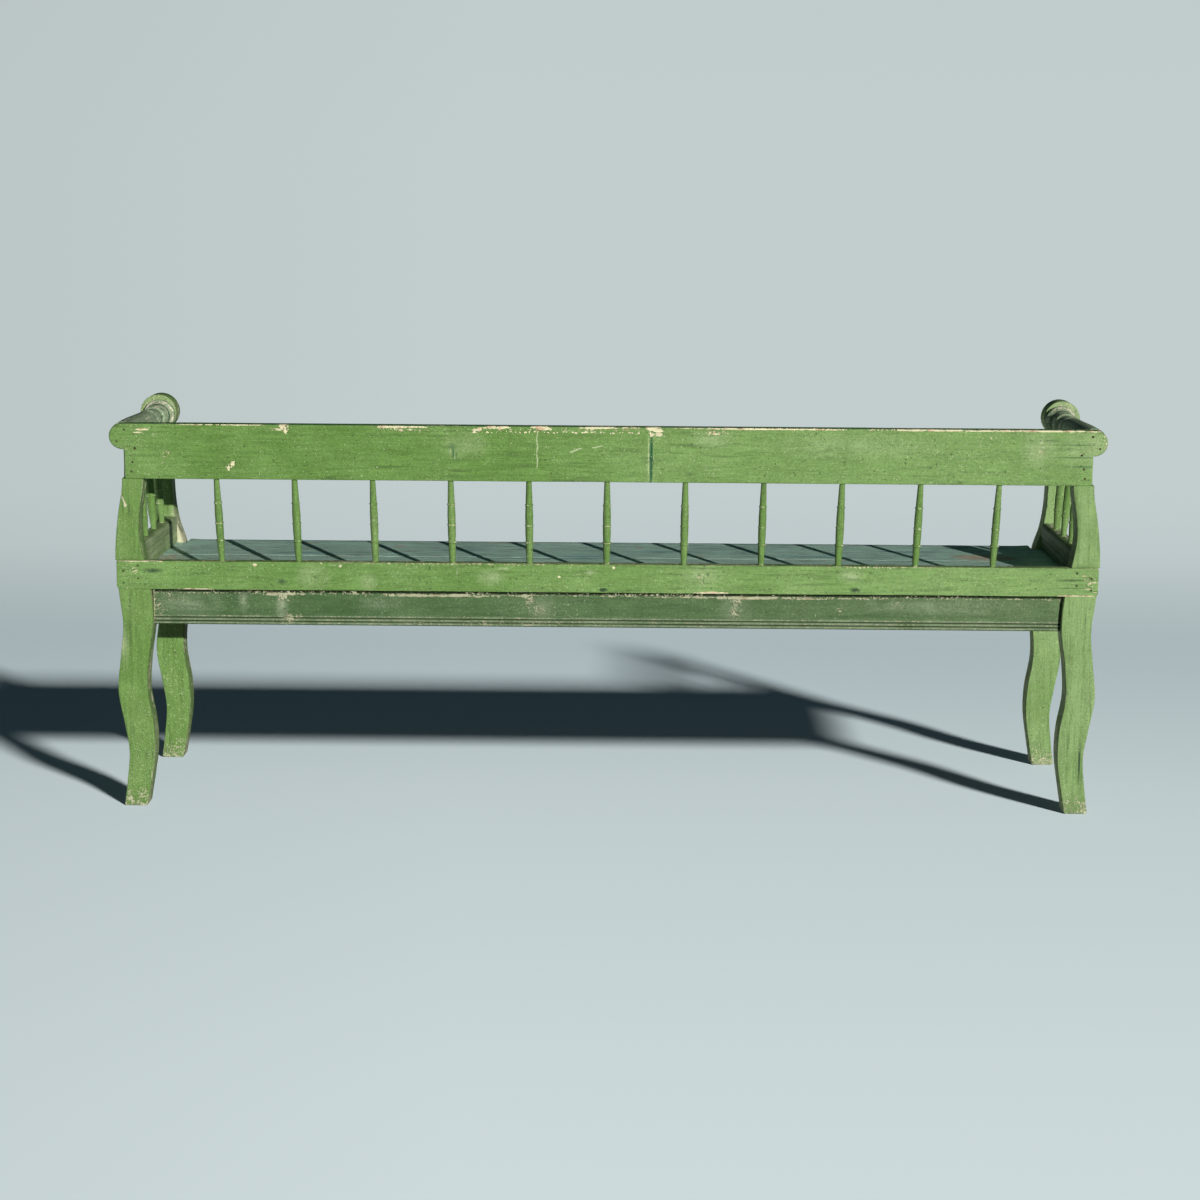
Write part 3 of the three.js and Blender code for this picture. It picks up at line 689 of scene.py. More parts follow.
# Back rails: two pine planks let into the posts' backs and nailed. The top one ends in round
# ears, and its top edge is worn to a cream line. The same leaf green, paler at the right end.
ear_radius, ear_step = 0.024, 0.004
rail_arris, ear_arris = 0.0016, 0.0035
ear_x, ear_z = rail_high.x - ear_radius, rail_high.z - ear_radius
sunk = 0.0002                    # the nail heads stand level with the frame, the wood just below
ear = [Vector((ear_x - ear_step, rail_low.z))]
ear += arc(ear_x, ear_z, ear_radius, -math.acos(-ear_step / ear_radius), math.pi / 2, 30)
rail_back = rail_low.y
rail_marks = {
    "Chipped": on_face(
        rail_back, (0.9, -594, 719, 14, 10), (0.8, -589, 711, 6, 9), (1, -241, 712.5, 9, 7),
        (0.8, -234, 716, 6, 6), (1, -380, 719, 70, 3), (0.8, -710, 720.5, 120, 1.8),
        (1.2, -203, 719.5, 33, 3.6), (1, -120, 719.5, 26, 6), (1, -20, 720, 55, 2.8),
        (0.8, 45, 720.2, 30, 2.4), (0.9, 83, 719.5, 18, 10), (0.9, 95, 713, 10, 13), (0.8, 81, 710, 6, 10),
        (1, 290, 720, 220, 2.6), (1, 620, 720, 200, 2.6), (1.1, 800, 720, 150, 2.5), (1.1, -687, 650, 5, 6),
        (0.9, -695, 640, 4, 5), (0.9, 197, 711, 9, 4), (0.8, -41, 712, 8, 4), (0.9, -853, 711, 18, 2.4),
        (0.9, -862, 705.5, 14, 1.8), (0.7, -600, 713, 30, 3),
        *[(1 + 0.25 * math.sin(7.7 * k), -228 + 8.6 * k + 1.8 * math.sin(3.1 * k), 711.4 + math.sin(5.3 * k),
           2.7 + 0.9 * math.sin(2.3 * k), 2.2) for k in range(34)]),
    "Rubbed and lit": on_face(
        rail_back, (0.66, -370, 714, 100, 7), (0.58, 200, 712, 100, 10), (0.56, 794, 686, 14, 30),
        (0.56, -690, 645, 30, 22), (0.54, -810, 665, 20, 20), (0.6, 912, 700, 15, 30),
        (0.56, 90, 712, 30, 16), (0.55, -50, 716.5, 500, 6)),
    "Smeared and lit": on_face(
        rail_back, (0.5, -260, 685, 50, 30), (0.7, 790, 685, 40, 40), (0.45, 190, 700, 50, 20),
        (0.35, 450, 690, 200, 30), (0.6, 880, 690, 60, 50), (2.2, 792, 700, 5, 8), (2, 796, 690, 4, 5),
        (1.4, 75.5, 664, 1.8, 60), (1.1, -287.5, 674, 2, 13), (1, -279.5, 666, 1.8, 9),
        *[(2.6, -128.5 + math.sin(1.9 * k), 652 + 8 * k, 1.3, 9) for k in range(8)],
        *[(2.6, -66 + 4 * k, 675.5 + 1.6 * k, 5, 1.3) for k in range(5)],
        *[(2.6, -24 + 4 * k, 683.5 + k, 5, 1.2) for k in range(4)]),
    # The long thin stain along the very top, at 722.8, is painted shade on the rounded top arris.
    "Stained and shaded": on_face(
        rail_back, (0.6, -282.5, 672, 3, 17), (0.35, -284, 684, 9, 8), (0.4, -277, 668, 3, 10),
        (1.2, 80.5, 664, 3.4, 70), (0.5, 860, 672, 60, 2), (0.5, 870, 655, 50, 2), (0.5, 860, 695, 50, 1.6),
        (0.9, 0, 722.8, 60000, 2.2))}
faded_top = (0.204, 0.350, 0.118, 1)
top_rail_paint = painted(
    "leaf_green_on_top_rail", leaf_green, faded_top, along_x, rail_marks, fade=("X", -0.2, 0.90, 1.15),
    edge_reach=0.005, edge_wear=0.30, chips=0.40, specks=0.60, grime=0.65, worn_side=(0, 0, 0.45),
    stain=(0.030, 0.115, 0.060, 1))


def ear_rounding(point):
    along = (abs(point.x) - (ear_x - 0.012)) / 0.02
    return rail_arris + ear_arris * min(1, max(0, along))


top_rail = block("painted_top_rail", ear + mirrored(ear)[::-1], (rail_back + sunk, rail_high.y), XZ_Y,
                 top_rail_paint, seed=21, nose=ear_rounding, wander=0.0005)
set_board(*top_rail, "leaf_green_paint", "back_top_rail")

lower_corner = 0.007
right_end = arc(lower_high.x - lower_corner, lower_low.z + lower_corner, lower_corner, -math.pi / 2, 0, 6)
right_end += [Vector((lower_high.x, lower_high.z))]
lower_back = lower_low.y
lower_marks = {
    "Chipped": on_face(
        lower_back, (1.1, -650, 461, 5, 4), (1.1, -492, 461, 5, 4), (1.1, -87.2, 444, 3.8, 3.4),
        (1, 13.5, 461.5, 3.6, 3.4), (0.9, 200, 415.5, 50, 4), (1, 866, 415, 50, 2.8),
        (1, -860, 466.5, 60, 2.2), (0.9, 880, 453, 8, 1.4), (0.9, 899, 440.5, 9, 1.6),
        (0.9, 887, 428.5, 15, 1.3), (0.9, 902, 423, 6, 2.2), (0.9, -760, 414.5, 50, 3)),
    "Rubbed and lit": on_face(
        lower_back, (0.57, 890, 440, 22, 30), (0.5, -880, 450, 40, 30), (0.57, -300, 466, 700, 6),
        (0.57, 500, 466, 400, 6), (0.52, 175, 445, 40, 22)),
    "Smeared and lit": on_face(
        lower_back, (0.6, -543, 439, 40, 30), (0.7, -213, 442, 32, 20), (0.5, 173, 446, 45, 24),
        (0.6, 450, 450, 30, 15), (0.6, -440, 430, 20, 20), (0.8, -276, 450, 2, 16), (0.8, -30, 452, 10, 6),
        (0.8, -190, 458, 14, 4)),
    "Stained and shaded": on_face(
        lower_back, (0.9, 459, 423, 12, 6), (1.4, -6, 419.5, 10, 4.5), (0.7, -840, 449, 25, 6),
        (0.6, -600, 430, 12, 8), (0.5, 860, 430, 50, 1.6), (0.5, 870, 445, 50, 1.6),
        (0.7, -327, 458, 2.2, 6), (0.6, -345, 437, 3, 4), (0.6, -326, 419, 5, 2), (0.5, 171, 447, 2, 10),
        (0.5, 179, 439, 2, 8), (0.5, 187, 450, 3, 5))}
sunny_leaf, faded_sunny = (0.132, 0.266, 0.064, 1), (0.222, 0.372, 0.132, 1)
lower_rail_paint = painted(
    "leaf_green_on_lower_rail", sunny_leaf, faded_sunny, along_x, lower_marks, fade=("X", -0.1, 0.95, 1.0),
    edge_reach=0.005, edge_wear=0.38, chips=0.42, specks=0.7, grime=0.7, worn_side=(0, 0, 0.55))
lower_rail = block(
    "painted_lower_rail", right_end + mirrored(right_end)[::-1], (lower_back + sunk, lower_high.y), XZ_Y,
    lower_rail_paint, seed=33, arris=0.0015, wander=0.0004)
set_board(*lower_rail, "leaf_green_paint", "back_lower_rail")


# Aprons: boards tenoned between the posts under the seat. The long ones have two beads run along
# the lower edge. Older and darker moss green, rubbed through in beige patches, bare inside.
bead_pitch, bead_depth, bead_count = 0.0066, 0.002, 2
moss_green, faded_moss = (0.067, 0.139, 0.053, 1), (0.122, 0.193, 0.093, 1)
apron_bottom, apron_top = [corner.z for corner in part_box("side_apron_left")]


def inner_reach(z_low, z_high):
    return min(point.x for point in inner_back + inner_front if z_low - 0.01 < point.y < z_high + 0.01)


apron_end = inner_reach(apron_bottom, apron_top) - fit
apron_half = 0.011
grooves = [1000 * (apron_bottom + k * bead_pitch) for k in range(bead_count + 1)]   # millimetres
for name, facing in (("back", -1), ("front", 1)):
    low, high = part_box(f"{name}_apron")
    middle = (low.y + high.y) / 2
    face, inner = middle + facing * apron_half, middle - facing * apron_half
    ground = face - facing * bead_depth
    section = [Vector((inner, apron_bottom)), Vector((ground, apron_bottom))]
    for step in range(1, bead_count * 8 + 1):
        bulge = abs(math.sin(math.pi * (step / 8))) * bead_depth
        section.append(Vector((ground + facing * bulge, apron_bottom + step / 8 * bead_pitch)))
    crests = [section[1 + 4 + 8 * k] for k in range(bead_count)]
    section += [Vector((face, apron_bottom + bead_count * bead_pitch + bead_depth)),
                Vector((face, apron_top)), Vector((inner, apron_top))]
    apron_marks = {
        # Its stains are painted shade: dark lines in the bead grooves and a dark band under the lower rail.
        "Stained and shaded": on_face(
            face, *[(0.7, 0, z, 30000, 1) for z in grooves], (2, 0, 412.6, 60000, 6.6)),
        "Chipped": on_face(
            face, (0.8, -842, 385, 5, 60), (0.75, 300, 404, 300, 4), (0.75, -300, 404, 200, 4.4),
            (0.8, -600, 404, 60, 5), (0.9, -150, 403.5, 12, 6)),
        # The pale lines on the bead crests, half a pitch above each groove, are painted highlight, partly
        # rubbed wear.
        "Rubbed and lit": on_face(
            face, *[(0.6, 0, z + 500 * bead_pitch, 30000, 2.2) for z in grooves], (0.6, 0, 405.5, 30000, 4),
            (0.62, 300, 405, 700, 4), (0.58, -810, 400, 70, 35), (0.74, -601, 402, 26, 26),
            (0.76, -585, 358, 34, 24), (0.6, -470, 407, 90, 16), (0.62, -235, 406, 90, 16),
            (0.72, -142, 396, 22, 24), (0.72, -125, 376, 36, 22), (0.72, 242, 398, 26, 26),
            (0.74, 238, 374, 20, 26), (0.56, 100, 408, 600, 12), (0.56, -600, 408, 300, 14),
            (0.52, 600, 408, 350, 10), (0.62, 434, 385, 20, 30), (0.58, 544, 396, 30, 20),
            (0.52, -200, 352, 700, 10), (0.55, -835, 380, 30, 50)),
        # Here too the lines on the bead crests are painted highlight, partly rubbed wear.
        "Smeared and lit": on_face(
            face, *[(0.9, 0, z + 500 * bead_pitch, 30000, 1.9) for z in grooves], (0.9, -603, 380, 14, 50),
            (0.6, -780, 385, 80, 30), (0.6, 240, 380, 40, 40), (0.5, 600, 390, 200, 20),
            (0.7, -675, 395, 12, 30), (0.5, -120, 385, 30, 40), (0.5, 0, 355, 2000, 12),
            (0.5, -420, 390, 50, 20))}
    # The near-black stain colour is painted shade, for the grooves and the band under the rail.
    material = painted(
        f"moss_green_on_{name}_apron", moss_green, faded_moss, along_x, apron_marks,
        fade=("X", -0.3, 0.9, 0.55), edge_reach=0.0036, edge_wear=0.34, chips=0.40, specks=0.65, grime=0.6,
        bare_side=(0, -facing, 0), pale=(0.36, 0.44, 0.30, 1), undercoat=(0.52, 0.53, 0.36, 1),
        wood=(0.42, 0.39, 0.25, 1), stain=(0.016, 0.024, 0.012, 1))
    apron = block(f"painted_{name}_apron", section, (-apron_end, apron_end), YZ_X, material, seed=41,
                  arris=0.0008, corner=0.0009, step=0.0022, grid=0.008, crests=crests)
    set_board(*apron, "moss_green_paint", f"{name}_apron")


def rectangle(low, high):
    return [Vector((x, z)) for x, z in ((low.x, low.z), (high.x, low.z), (high.x, high.z), (low.x, high.z))]


post_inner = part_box("post_front_left")[0].y - fit
for name, side in sides.items():
    node = f"side_apron_{name}"
    material = painted(f"moss_green_on_{node}", moss_green, faded_moss, along_y, edge_reach=0.004,
                       edge_wear=0.35, chips=0.3, specks=0.2, grime=0.6, bare_side=(-side, 0, 0))
    apron = block(f"painted_{node}", rectangle(*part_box(node)), (-post_inner, post_inner), XZ_Y, material,
                  seed=55 + side, arris=0.0008, corner=0.0016)
    set_board(*apron, "moss_green_paint", node)


# Battens: three bearers of rough sawn pine, let into the long aprons, that carry the seat's
# boards and take their nails. Never painted.
batten_wood, tree = new_material("bare_batten_wood")
grain = add_node(tree, "ShaderNodeGroup", {"Grain": along_y}, node_tree=wood_group).outputs
coat_with(batten_wood, Value(grain["Color"]), 0.85, Value(grain["Height"]))
for index in (1, 2, 3):
    node = f"seat_batten_{index}"
    low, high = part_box(node)
    batten = block(f"bare_{node}", rectangle(low, high), (low.y, high.y), XZ_Y, batten_wood,
                   seed=60 + index, arris=0.001, corner=0.0018)
    set_board(*batten, "bare_wood", node)


# Seat: two boards notched round the posts, nailed down to the battens, the front one with a
# rounded nose. Blue-grey paint dulled by sitting, worn through at the back and the ends.
slate_green, faded_and_lit_slate = (0.140, 0.250, 0.210, 1), (0.540, 0.820, 0.705, 1)
nose_radius, seat_arris = 0.009, 0.0012
notch_x = inner_reach(seat_top - 0.03, seat_top) - fit
seat_low, seat_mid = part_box("seat_board_back")
front_low, seat_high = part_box("seat_board_front")


def on_seat(*marks):
    """Marks on the seat, each given as (strength, x, y, width, depth) in millimetres."""
    return [(strength, (x / 1000, y / 1000, seat_top), (wide / 1000, deep / 1000, 0.02))
            for strength, x, y, wide, deep in marks]


seat_marks = {
    "Chipped": on_seat(
        (1, 715, 60, 60, 40), (1, 765, 45, 40, 35), (1, -414, 143, 16, 12), (1, 63, 142, 14, 10),
        (1, 180, 47, 12, 8), (1, -600, 170, 30, 8)),
    "Rubbed and lit": on_seat(
        (0.8, -845, -20, 60, 120), (0.8, 740, 50, 120, 100), (0.6, -200, 200, 700, 30),
        (0.6, 500, 210, 400, 30)),
    "Smeared and lit": on_seat(
        (0.4, -700, 0, 260, 220), (0.4, -500, 100, 400, 50), (0.35, 300, 0, 500, 50),
        (0.7, -300, 20, 30, 12), (0.7, 20, 80, 50, 10), (0.8, 220, 20, 50, 6), (0.6, -150, 100, 80, 8)),
    "Stained and shaded": on_seat(
        (0.5, -50, 20, 100, 30), (0.4, -290, 100, 80, 30), (0.4, 100, 100, 70, 20), (0.4, 400, 50, 120, 20),
        (0.4, -600, 50, 100, 30), (0.4, 600, 120, 90, 20))}
# Near the top the paint is mixed far towards the pale colour, so the top is much paler than the nose and
# ends: painted light, as the low lamp only grazes the top, besides some fading.
seat_paint = painted(
    "slate_green_on_seat", slate_green, faded_and_lit_slate, along_x, seat_marks,
    fade=("Z", seat_top - 0.006, seat_top - 0.0015, 0.65), edge_reach=0.006, edge_wear=0.42, chips=0.44,
    specks=1.0, grime=0.9, brush=2.6, bare_side=(0, 0, -1), pale=(0.60, 0.66, 0.56, 1),
    undercoat=(0.72, 0.64, 0.50, 1), wood=(0.60, 0.47, 0.37, 1), stain=(0.17, 0.40, 0.43, 1))


def nose(point):
    if point.y < seat_high.y - 0.0005:
        return seat_arris
    along = (notch_x - abs(point.x)) / 0.03
    return seat_arris + (nose_radius - seat_arris) * min(1, max(0, along)) ** 1.2


back_x = seat_mid.x
back_half = [(notch_x, seat_low.y), (notch_x, -post_inner), (back_x, -post_inner), (back_x, seat_mid.y)]
front_half = [(back_x, front_low.y), (back_x, post_inner), (notch_x, post_inner), (notch_x, seat_high.y)]
for name, half, rounding in (("back", back_half, None), ("front", front_half, nose)):
    low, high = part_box(f"seat_board_{name}")
    half = [Vector(point) for point in half]
    board = block(
        f"painted_seat_board_{name}", mirrored(half)[:1] + half + mirrored(half)[:0:-1], (low.z, high.z),
        XY_Z, seat_paint, seed=71 + len(name), arris=seat_arris, nose=rounding, grid=0.011)
    set_board(*board, "slate_green_paint", f"seat_board_{name}")


# End rails: short stout rails on the seat's ends, tenoned between the posts, their top edges
# rounded over and rubbed to ridges by hands. Leaf green, greyer than the rest, the left rail's
# painted paler as painted light and the right rail's darker as painted shade.
end_rounding = 0.007
end_greens_lit_and_shaded = {"left": ((0.155, 0.250, 0.085, 1), (0.360, 0.470, 0.250, 1)),
              "right": ((0.105, 0.165, 0.065, 1), (0.190, 0.260, 0.140, 1))}
for name, side in sides.items():
    node = f"end_rail_{name}"
    low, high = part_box(node)
    section = [Vector((low.x, low.z)), Vector((high.x, low.z))]
    section += arc(high.x - end_rounding, high.z - end_rounding, end_rounding, 0, math.pi / 2, 6)
    section += arc(low.x + end_rounding, high.z - end_rounding, end_rounding, math.pi / 2, math.pi, 6)
    rounded = [(low.x + 0.003, high.z - 0.003), (high.x - 0.003, high.z - 0.003)]
    ridges = [(1.3, (side * 0.8625, 0, z), (0.008, 0.6, 0.0014))
              for z in (0.4905, 0.4855, 0.4800, 0.4720, 0.4600)]
    end_paint = painted(
        f"worn_green_painted_light_on_{node}", *end_greens_lit_and_shaded[name], (60, 4, 60), {"Smeared and lit": ridges}, edge_reach=0.014,
        edge_wear=0.36, chips=0.45, specks=0.7, grime=1.0, worn_side=(0, 0, 0.5), brush=2.6,
        pale=(0.50, 0.56, 0.40, 1), undercoat=(0.62, 0.64, 0.47, 1), wood=(0.44, 0.46, 0.31, 1))
    rail = block(f"painted_{node}", section, (-post_inner, post_inner), XZ_Y, end_paint,
                 seed=81 + side, arris=0.0008, corner=0.0016, crests=rounded, wander=0.0004)
    set_board(*rail, "leaf_green_paint", node)


# Arm rolls: turned from one billet each, a long taper, then rings, a cove and a rim, with a
# dowel at each end. Thin teal paint, rubbed pale on the rings.
roll_radius, rim_radius = 0.0255, 0.0305
back_dowel_radius, front_dowel_radius = 0.008, 0.010
roll_shares = [
    (0, 0.97), (0.015, 1), (0.2, 1), (0.4, 0.93), (0.59, 0.86), (0.605, 0.74), (0.622, 0.85), (0.645, 0.9),
    (0.668, 0.85), (0.685, 0.72), (0.74, 0.7), (0.79, 0.76), (0.805, 0.88), (0.83, 0.93),
    (0.855, 0.88), (0.868, 0.75)]
rim_shares = [(0.9, 0.68), (0.93, 0.78), (0.952, 0.92), (0.964, 1), (0.99, 1), (1, 0.95)]
crest_shares, groove_shares = (0.645, 0.83, 0.95), (0.605, 0.70, 0.77, 0.885, 0.925)
teal_green, faded_teal = (0.122, 0.232, 0.182, 1), (0.335, 0.450, 0.285, 1)
roll_start, roll_end = roll_low.y + 0.012, roll_high.y - 0.026
roll_length = roll_end - roll_start
roll_marks = {
    "Rubbed and lit": [(0.50, (side * arm_x, 0.13, arm_z), (0.07, 0.09, 0.07)) for side in (-1, 1)],
    # The dark lines in the turned grooves are painted shade.
    "Stained and shaded": [(0.8, (0, roll_start + share * roll_length, arm_z), (60.0, 0.0035, 9.0))
                for share in groove_shares]}
roll_paint = painted(
    "teal_green_on_rolls", teal_green, faded_teal, along_y, roll_marks, fade=("Y", -0.35, 0.05, 0.8),
    edge_reach=0.006, edge_wear=0.60, chips=0.5, specks=1.0, grime=0.8, pale=(0.52, 0.60, 0.46, 1),
    worn_side=(0, 0, 0.45), undercoat=(0.84, 0.82, 0.62, 1), wood=(0.55, 0.56, 0.38, 1), brush=1.8)
roll_sides = 56
crests = [roll_start + share * roll_length for share in crest_shares]
outline = [Vector((roll_start + share * roll_length, size * radius))
           for shares, radius in ((roll_shares, roll_radius), (rim_shares, rim_radius))
           for share, size in shares]
for name in sides:
    node = f"arm_roll_{name}"
    low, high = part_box(node)
    centre_x = (low.x + high.x) / 2
    profile = [Vector((low.y, 0)), Vector((low.y, back_dowel_radius)),
               Vector((roll_start, back_dowel_radius)), *flowing(outline, 5),
               Vector((roll_end, front_dowel_radius)), Vector((high.y, front_dowel_radius)),
               Vector((high.y, 0))]
    form = bmesh.new()
    rows = [[form.verts.new((centre_x, point.x, arm_z + point.y))] for point in profile]
    for row, point in zip(rows, profile):
        for k in range(1, roll_sides if point.y else 0):
            angle = 2 * math.pi * k / roll_sides
            row.append(form.verts.new((centre_x + point.y * math.sin(angle), point.x,
                                       arm_z + point.y * math.cos(angle))))
    for first, second in zip(rows, rows[1:]):
        for k in range(roll_sides):
            j = (k + 1) % roll_sides
            if len(first) == 1:
                form.faces.new((first[0], second[k], second[j]))
            elif len(second) == 1:
                form.faces.new((first[k], second[0], first[j]))
            else:
                form.faces.new((first[k], second[k], second[j], first[j]))
    mesh = bpy.data.meshes.new(f"turned_{node}")
    face_outward(form, mesh)
    store_edge(mesh, [max(0, min(abs(v.co.y - crest) for crest in crests) - 0.0018) for v in mesh.vertices])
    mesh.shade_smooth()
    mesh.set_sharp_from_angle(angle=math.radians(50))
    mesh.materials.append(roll_paint)
    set_in_frame(put_in_scene(f"turned_{node}", mesh), "teal_green_paint", node)


# Spindles: thin bamboo turnings with scored rings, eleven in the back, which fan out a little,
# and three stouter ones under each arm. Leaf green, the rings rubbed pale.
WHOLE, SHAPE, FINISH = "NodeSocketInt", "NodeSocketGeometry", "NodeSocketMaterial"


def geometry_tree(name, inputs):
    """A tree that makes a shape, and what it is given."""
    tree = bpy.data.node_groups.new(name, "GeometryNodeTree")
    tree.is_modifier = True
    tree.interface.new_socket("Geometry", in_out="OUTPUT", socket_type=SHAPE)
    for label, kind in [("Geometry", SHAPE), *inputs]:
        tree.interface.new_socket(label, in_out="INPUT", socket_type=kind)
    return tree, {s.name: Value(s) for s in tree.nodes.new("NodeGroupInput").outputs}


def follow(place, shares):
    """A value that follows a table of (place, value) shares."""
    node = add_node(tree_of(place), "ShaderNodeFloatCurve", {"Value": place})
    points = node.mapping.curves[0].points
    top = max(value for _, value in shares)
    for k, (at, value) in enumerate(shares):
        point = points[k] if k < 2 else points.new(at, value / top)
        point.location = (at, value / top)
    for point in points:
        point.handle_type = "VECTOR"
    node.mapping.update()
    return Value(node.outputs[0]) * top


def place_turned(tree, shape, points, course, sizes, seed, finish):
    """Sets a shape on points, each one's axis along its course and its thickness a little its own."""
    turn = value_of(tree, "FunctionNodeAlignRotationToVector", {"Vector": course}, axis="Z")
    size = value_of(tree, "FunctionNodeRandomValue", {2: sizes[0], 3: sizes[1], "Seed": seed}, 1)
    scale = value_of(tree, "ShaderNodeCombineXYZ", {"X": size, "Y": size, "Z": 1.0})
    placed = value_of(tree, "GeometryNodeInstanceOnPoints", {
        "Points": points, "Instance": shape, "Rotation": turn, "Scale": scale})
    real = value_of(tree, "GeometryNodeRealizeInstances", {"Geometry": placed})
    finished = value_of(tree, "GeometryNodeSetMaterial", {"Geometry": real, "Material": finish})
    add_node(tree, "NodeGroupOutput", {"Geometry": finished})


def spindle_tree(name, shares, rings):
    tree, given = geometry_tree(name, [
        ("Count", WHOLE), ("Foot", VECTOR), ("Step", VECTOR), ("Fan", NUMBER), ("Lean", NUMBER),
        ("Height", NUMBER), ("Sunk", NUMBER), ("Belly", NUMBER), ("Seed", WHOLE), ("Paint", FINISH)])
    foot = value_of(tree, "ShaderNodeCombineXYZ", {"Z": given["Sunk"] * -1.0})
    top = value_of(tree, "ShaderNodeCombineXYZ", {"Z": given["Height"] + given["Sunk"]})
    line = value_of(tree, "GeometryNodeCurvePrimitiveLine", {"Start": foot, "End": top})
    axis = value_of(tree, "GeometryNodeResampleCurve", {"Curve": line, "Count": 190})
    height = part(value_of(tree, "GeometryNodeInputPosition"), "Z")
    share = limited(calc("DIVIDE", height, given["Height"]))
    gap = reduce(lambda first, second: calc("MINIMUM", first, second),
                 [calc("ABSOLUTE", share - ring) for ring in rings])
    axis = value_of(tree, "GeometryNodeStoreNamedAttribute", {
        "Geometry": axis, "Name": "edge", "Value": gap * given["Height"]}, data_type="FLOAT", domain="POINT")
    circle = value_of(tree, "GeometryNodeCurvePrimitiveCircle", {"Resolution": 22, "Radius": 1.0})
    turned = value_of(tree, "GeometryNodeCurveToMesh", {
        "Curve": axis, "Profile Curve": circle, "Scale": follow(share, shares) * given["Belly"],
        "Fill Caps": True})
    turned = value_of(tree, "GeometryNodeSetShadeSmooth", {"Geometry": turned})
    rank = value_of(tree, "GeometryNodeInputIndex") - (given["Count"] - 1.0) * 0.5
    shift = value_of(tree, "ShaderNodeVectorMath", {0: given["Step"], "Scale": rank}, operation="SCALE")
    points = value_of(tree, "GeometryNodePoints", {
        "Count": given["Count"], "Position": vector("ADD", given["Foot"], shift)})
    course = value_of(tree, "ShaderNodeCombineXYZ", {
        "X": rank * given["Fan"] + given["Lean"], "Z": given["Height"]})
    place_turned(tree, turned, points, course, (0.95, 1.05), given["Seed"], given["Paint"])
    return tree


def grow(name, tree, start_mesh=None, **inputs):
    """Runs a tree on an object of its own and keeps the result as a plain mesh."""
    piece = put_in_scene(name, start_mesh or bpy.data.meshes.new(name))
    modifier = piece.modifiers.new("made", "NODES")
    modifier.node_group = tree
    sockets = {s.name: s.identifier for s in tree.interface.items_tree if s.in_out == "INPUT"}
    for label, value in inputs.items():
        modifier[sockets[label]] = value
    piece.update_tag()
    keep_shape(piece, modifier)
    return piece


back_shares = [
    (0, 0.68), (0.08, 0.78), (0.18, 0.86), (0.238, 0.86), (0.245, 1.12), (0.257, 1.12), (0.264, 0.86),
    (0.36, 0.95), (0.450, 0.94), (0.456, 1.07), (0.464, 1.07), (0.470, 0.92), (0.58, 0.96), (0.698, 0.86),
    (0.704, 1.03), (0.712, 1.03), (0.718, 0.84), (0.82, 0.78), (0.92, 0.71), (1, 0.66)]
end_shares = [
    (0, 0.58), (0.06, 0.66), (0.14, 0.78), (0.205, 0.86), (0.212, 1.05), (0.218, 1.05), (0.225, 0.86),
    (0.30, 0.93), (0.352, 0.96), (0.358, 1.08), (0.364, 1.08), (0.37, 0.92), (0.5, 1.0), (0.662, 0.90),
    (0.668, 1.02), (0.674, 1.02), (0.68, 0.86), (0.80, 0.76), (0.93, 0.66), (1, 0.58)]
back_tree = spindle_tree("turned_back_spindles", back_shares, (0.251, 0.46, 0.708, 0.0))
end_tree = spindle_tree("turned_end_spindles", end_shares, (0.215, 0.361, 0.671, 0.0))
pale_spindle, faded_spindle = (0.128, 0.252, 0.062, 1), (0.215, 0.345, 0.125, 1)
spindle_paint = painted(
    "leaf_green_on_spindles", pale_spindle, faded_spindle, along_z, edge_reach=0.0040, edge_wear=0.56,
    chips=0.45, specks=0.8, grime=0.6, undercoat=(0.50, 0.60, 0.34, 1), wood=(0.62, 0.58, 0.38, 1))
sunk_end = 0.014
back_pitch, back_fan = 0.1425, 0.0015
back_belly, end_belly = 0.0076, 0.0088
bore_z = arm_z - 0.024           # where the end spindles enter the arm rolls
rail_middle = (lower_low.y + lower_high.y) / 2
back_spindles = grow(
    "turned_back_spindles", back_tree, Count=11, Foot=(0, rail_middle, lower_high.z),
    Step=(back_pitch, 0, 0), Fan=back_fan, Height=rail_low.z - lower_high.z, Sunk=sunk_end,
    Belly=back_belly, Seed=5, Paint=spindle_paint)
set_in_frame(back_spindles, "leaf_green_paint", *[f"back_spindle_{k}" for k in range(1, 12)])
for name, side in sides.items():
    foot_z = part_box(f"end_rail_{name}")[1].z
    row = grow(
        f"turned_end_spindles_{name}", end_tree, Count=3, Foot=(side * post_x, 0, foot_z),
        Step=(0, (post_inner + fit) / 2, 0), Lean=side * post_inset, Height=bore_z - foot_z,
        Sunk=sunk_end, Belly=end_belly, Seed=8 + side, Paint=spindle_paint)
    set_in_frame(row, "leaf_green_paint", *[f"end_spindle_{name}_{k}" for k in (1, 2, 3)])


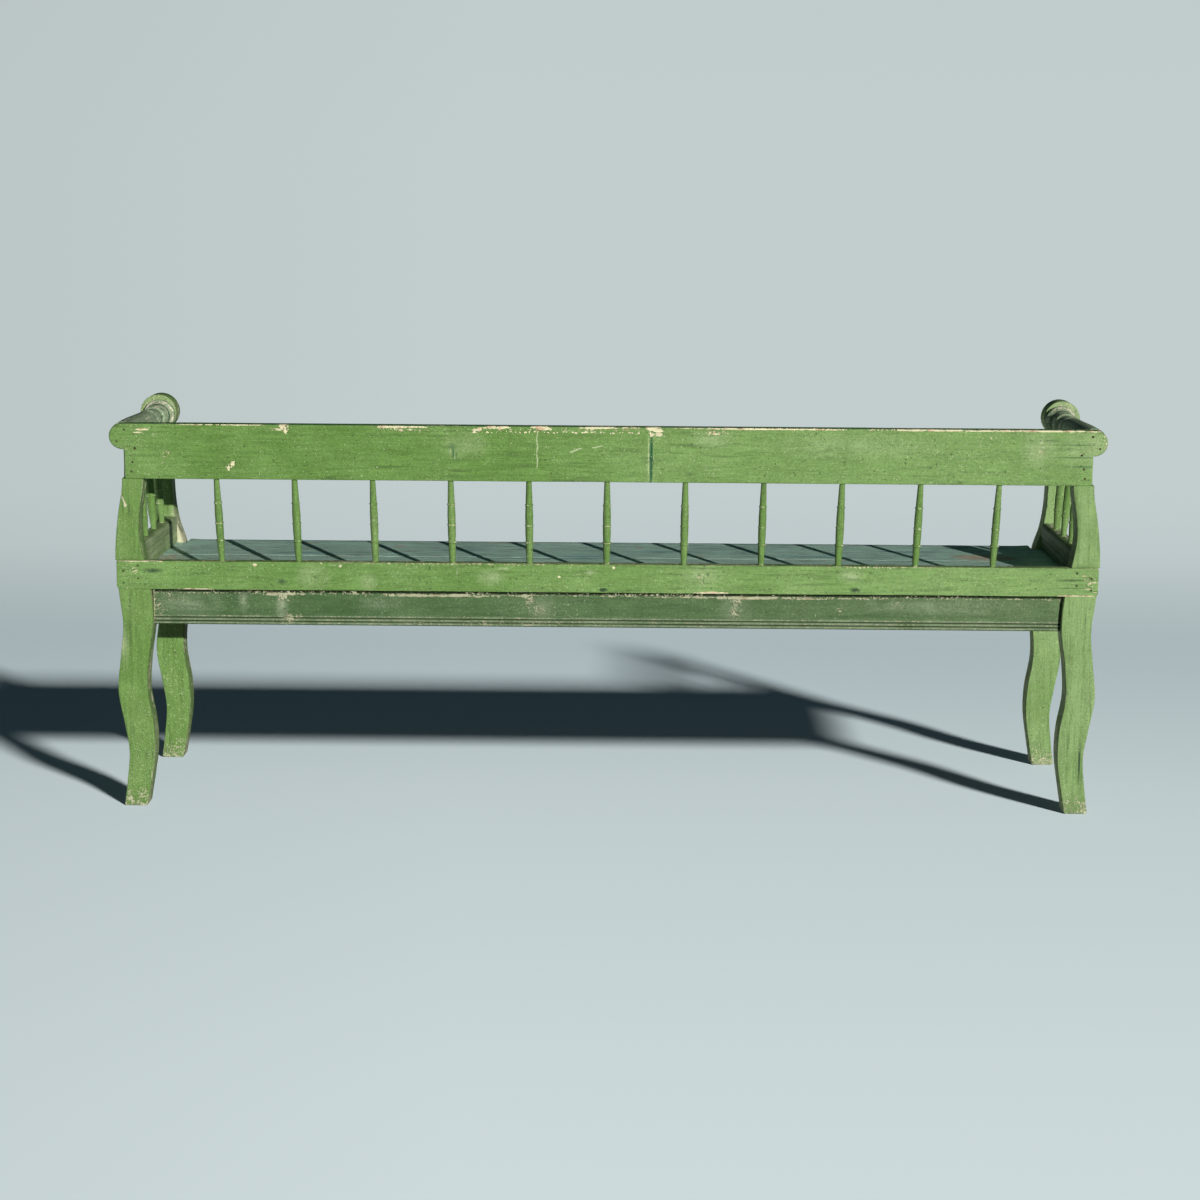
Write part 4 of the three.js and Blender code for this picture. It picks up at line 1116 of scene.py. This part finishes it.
# Nails: cut nails that hold the rails to the posts and the seat to the battens, driven level
# with the wood. Dark and rusty iron, some of them under a skin of paint.
black_iron, brown_rust, nail_paint = (0.035, 0.032, 0.028, 1), (0.11, 0.055, 0.03, 1), (0.09, 0.17, 0.05, 1)
iron, tree = new_material("rusty_nail_iron")
rust = clouds(position(tree), 480.0, 4.0)
colour = blend(ramp(rust, 0.4, 0.6), black_iron, brown_rust)
colour = blend(ramp(clouds(position(tree), 110.0), 0.46, 0.6), colour, nail_paint)
coat_with(iron, colour, ramp(rust, 0.3, 0.7, 0.5, 0.85), rust * 0.0005)
tree.nodes["Principled BSDF"].inputs["Metallic"].default_value = 0.3
nail_nodes = sorted(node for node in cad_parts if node.startswith("nail_"))
heads, facings = [], []
head_radius, head_depth = 0.0026, 0.0016
for node in nail_nodes:
    low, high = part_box(node)
    middle = (low + high) / 2
    if node.startswith("nail_seat"):
        heads.append((middle.x, middle.y, high.z - head_depth * 0.45))
        facings += (0, 0, 1)
    else:
        heads.append((middle.x, low.y + head_depth * 0.5, middle.z))
        facings += (0, -1, 0)
nail_points = bpy.data.meshes.new("nail_places")
nail_points.from_pydata(heads, [], [])
nail_points.attributes.new("facing", "FLOAT_VECTOR", "POINT").data.foreach_set("vector", facings)
tree, given = geometry_tree("driven_nails", [
    ("Radius", NUMBER), ("Depth", NUMBER), ("Seed", WHOLE), ("Iron", FINISH)])
disc = value_of(tree, "GeometryNodeMeshCone", {
    "Vertices": 14, "Side Segments": 2, "Fill Segments": 2, "Radius Top": given["Radius"] * 0.86,
    "Radius Bottom": given["Radius"], "Depth": given["Depth"]})
drop = value_of(tree, "ShaderNodeCombineXYZ", {"Z": given["Depth"] * -0.5})
disc = value_of(tree, "GeometryNodeTransform", {"Geometry": disc, "Translation": drop})
facing = value_of(tree, "GeometryNodeInputNamedAttribute", {"Name": "facing"}, data_type="FLOAT_VECTOR")
place_turned(tree, disc, given["Geometry"], facing, (0.8, 1.1), given["Seed"], given["Iron"])
nails = grow("driven_nails", tree, nail_points, Radius=head_radius, Depth=head_depth, Seed=4, Iron=iron)
set_in_frame(nails, "iron_nails", *nail_nodes)

low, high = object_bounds()
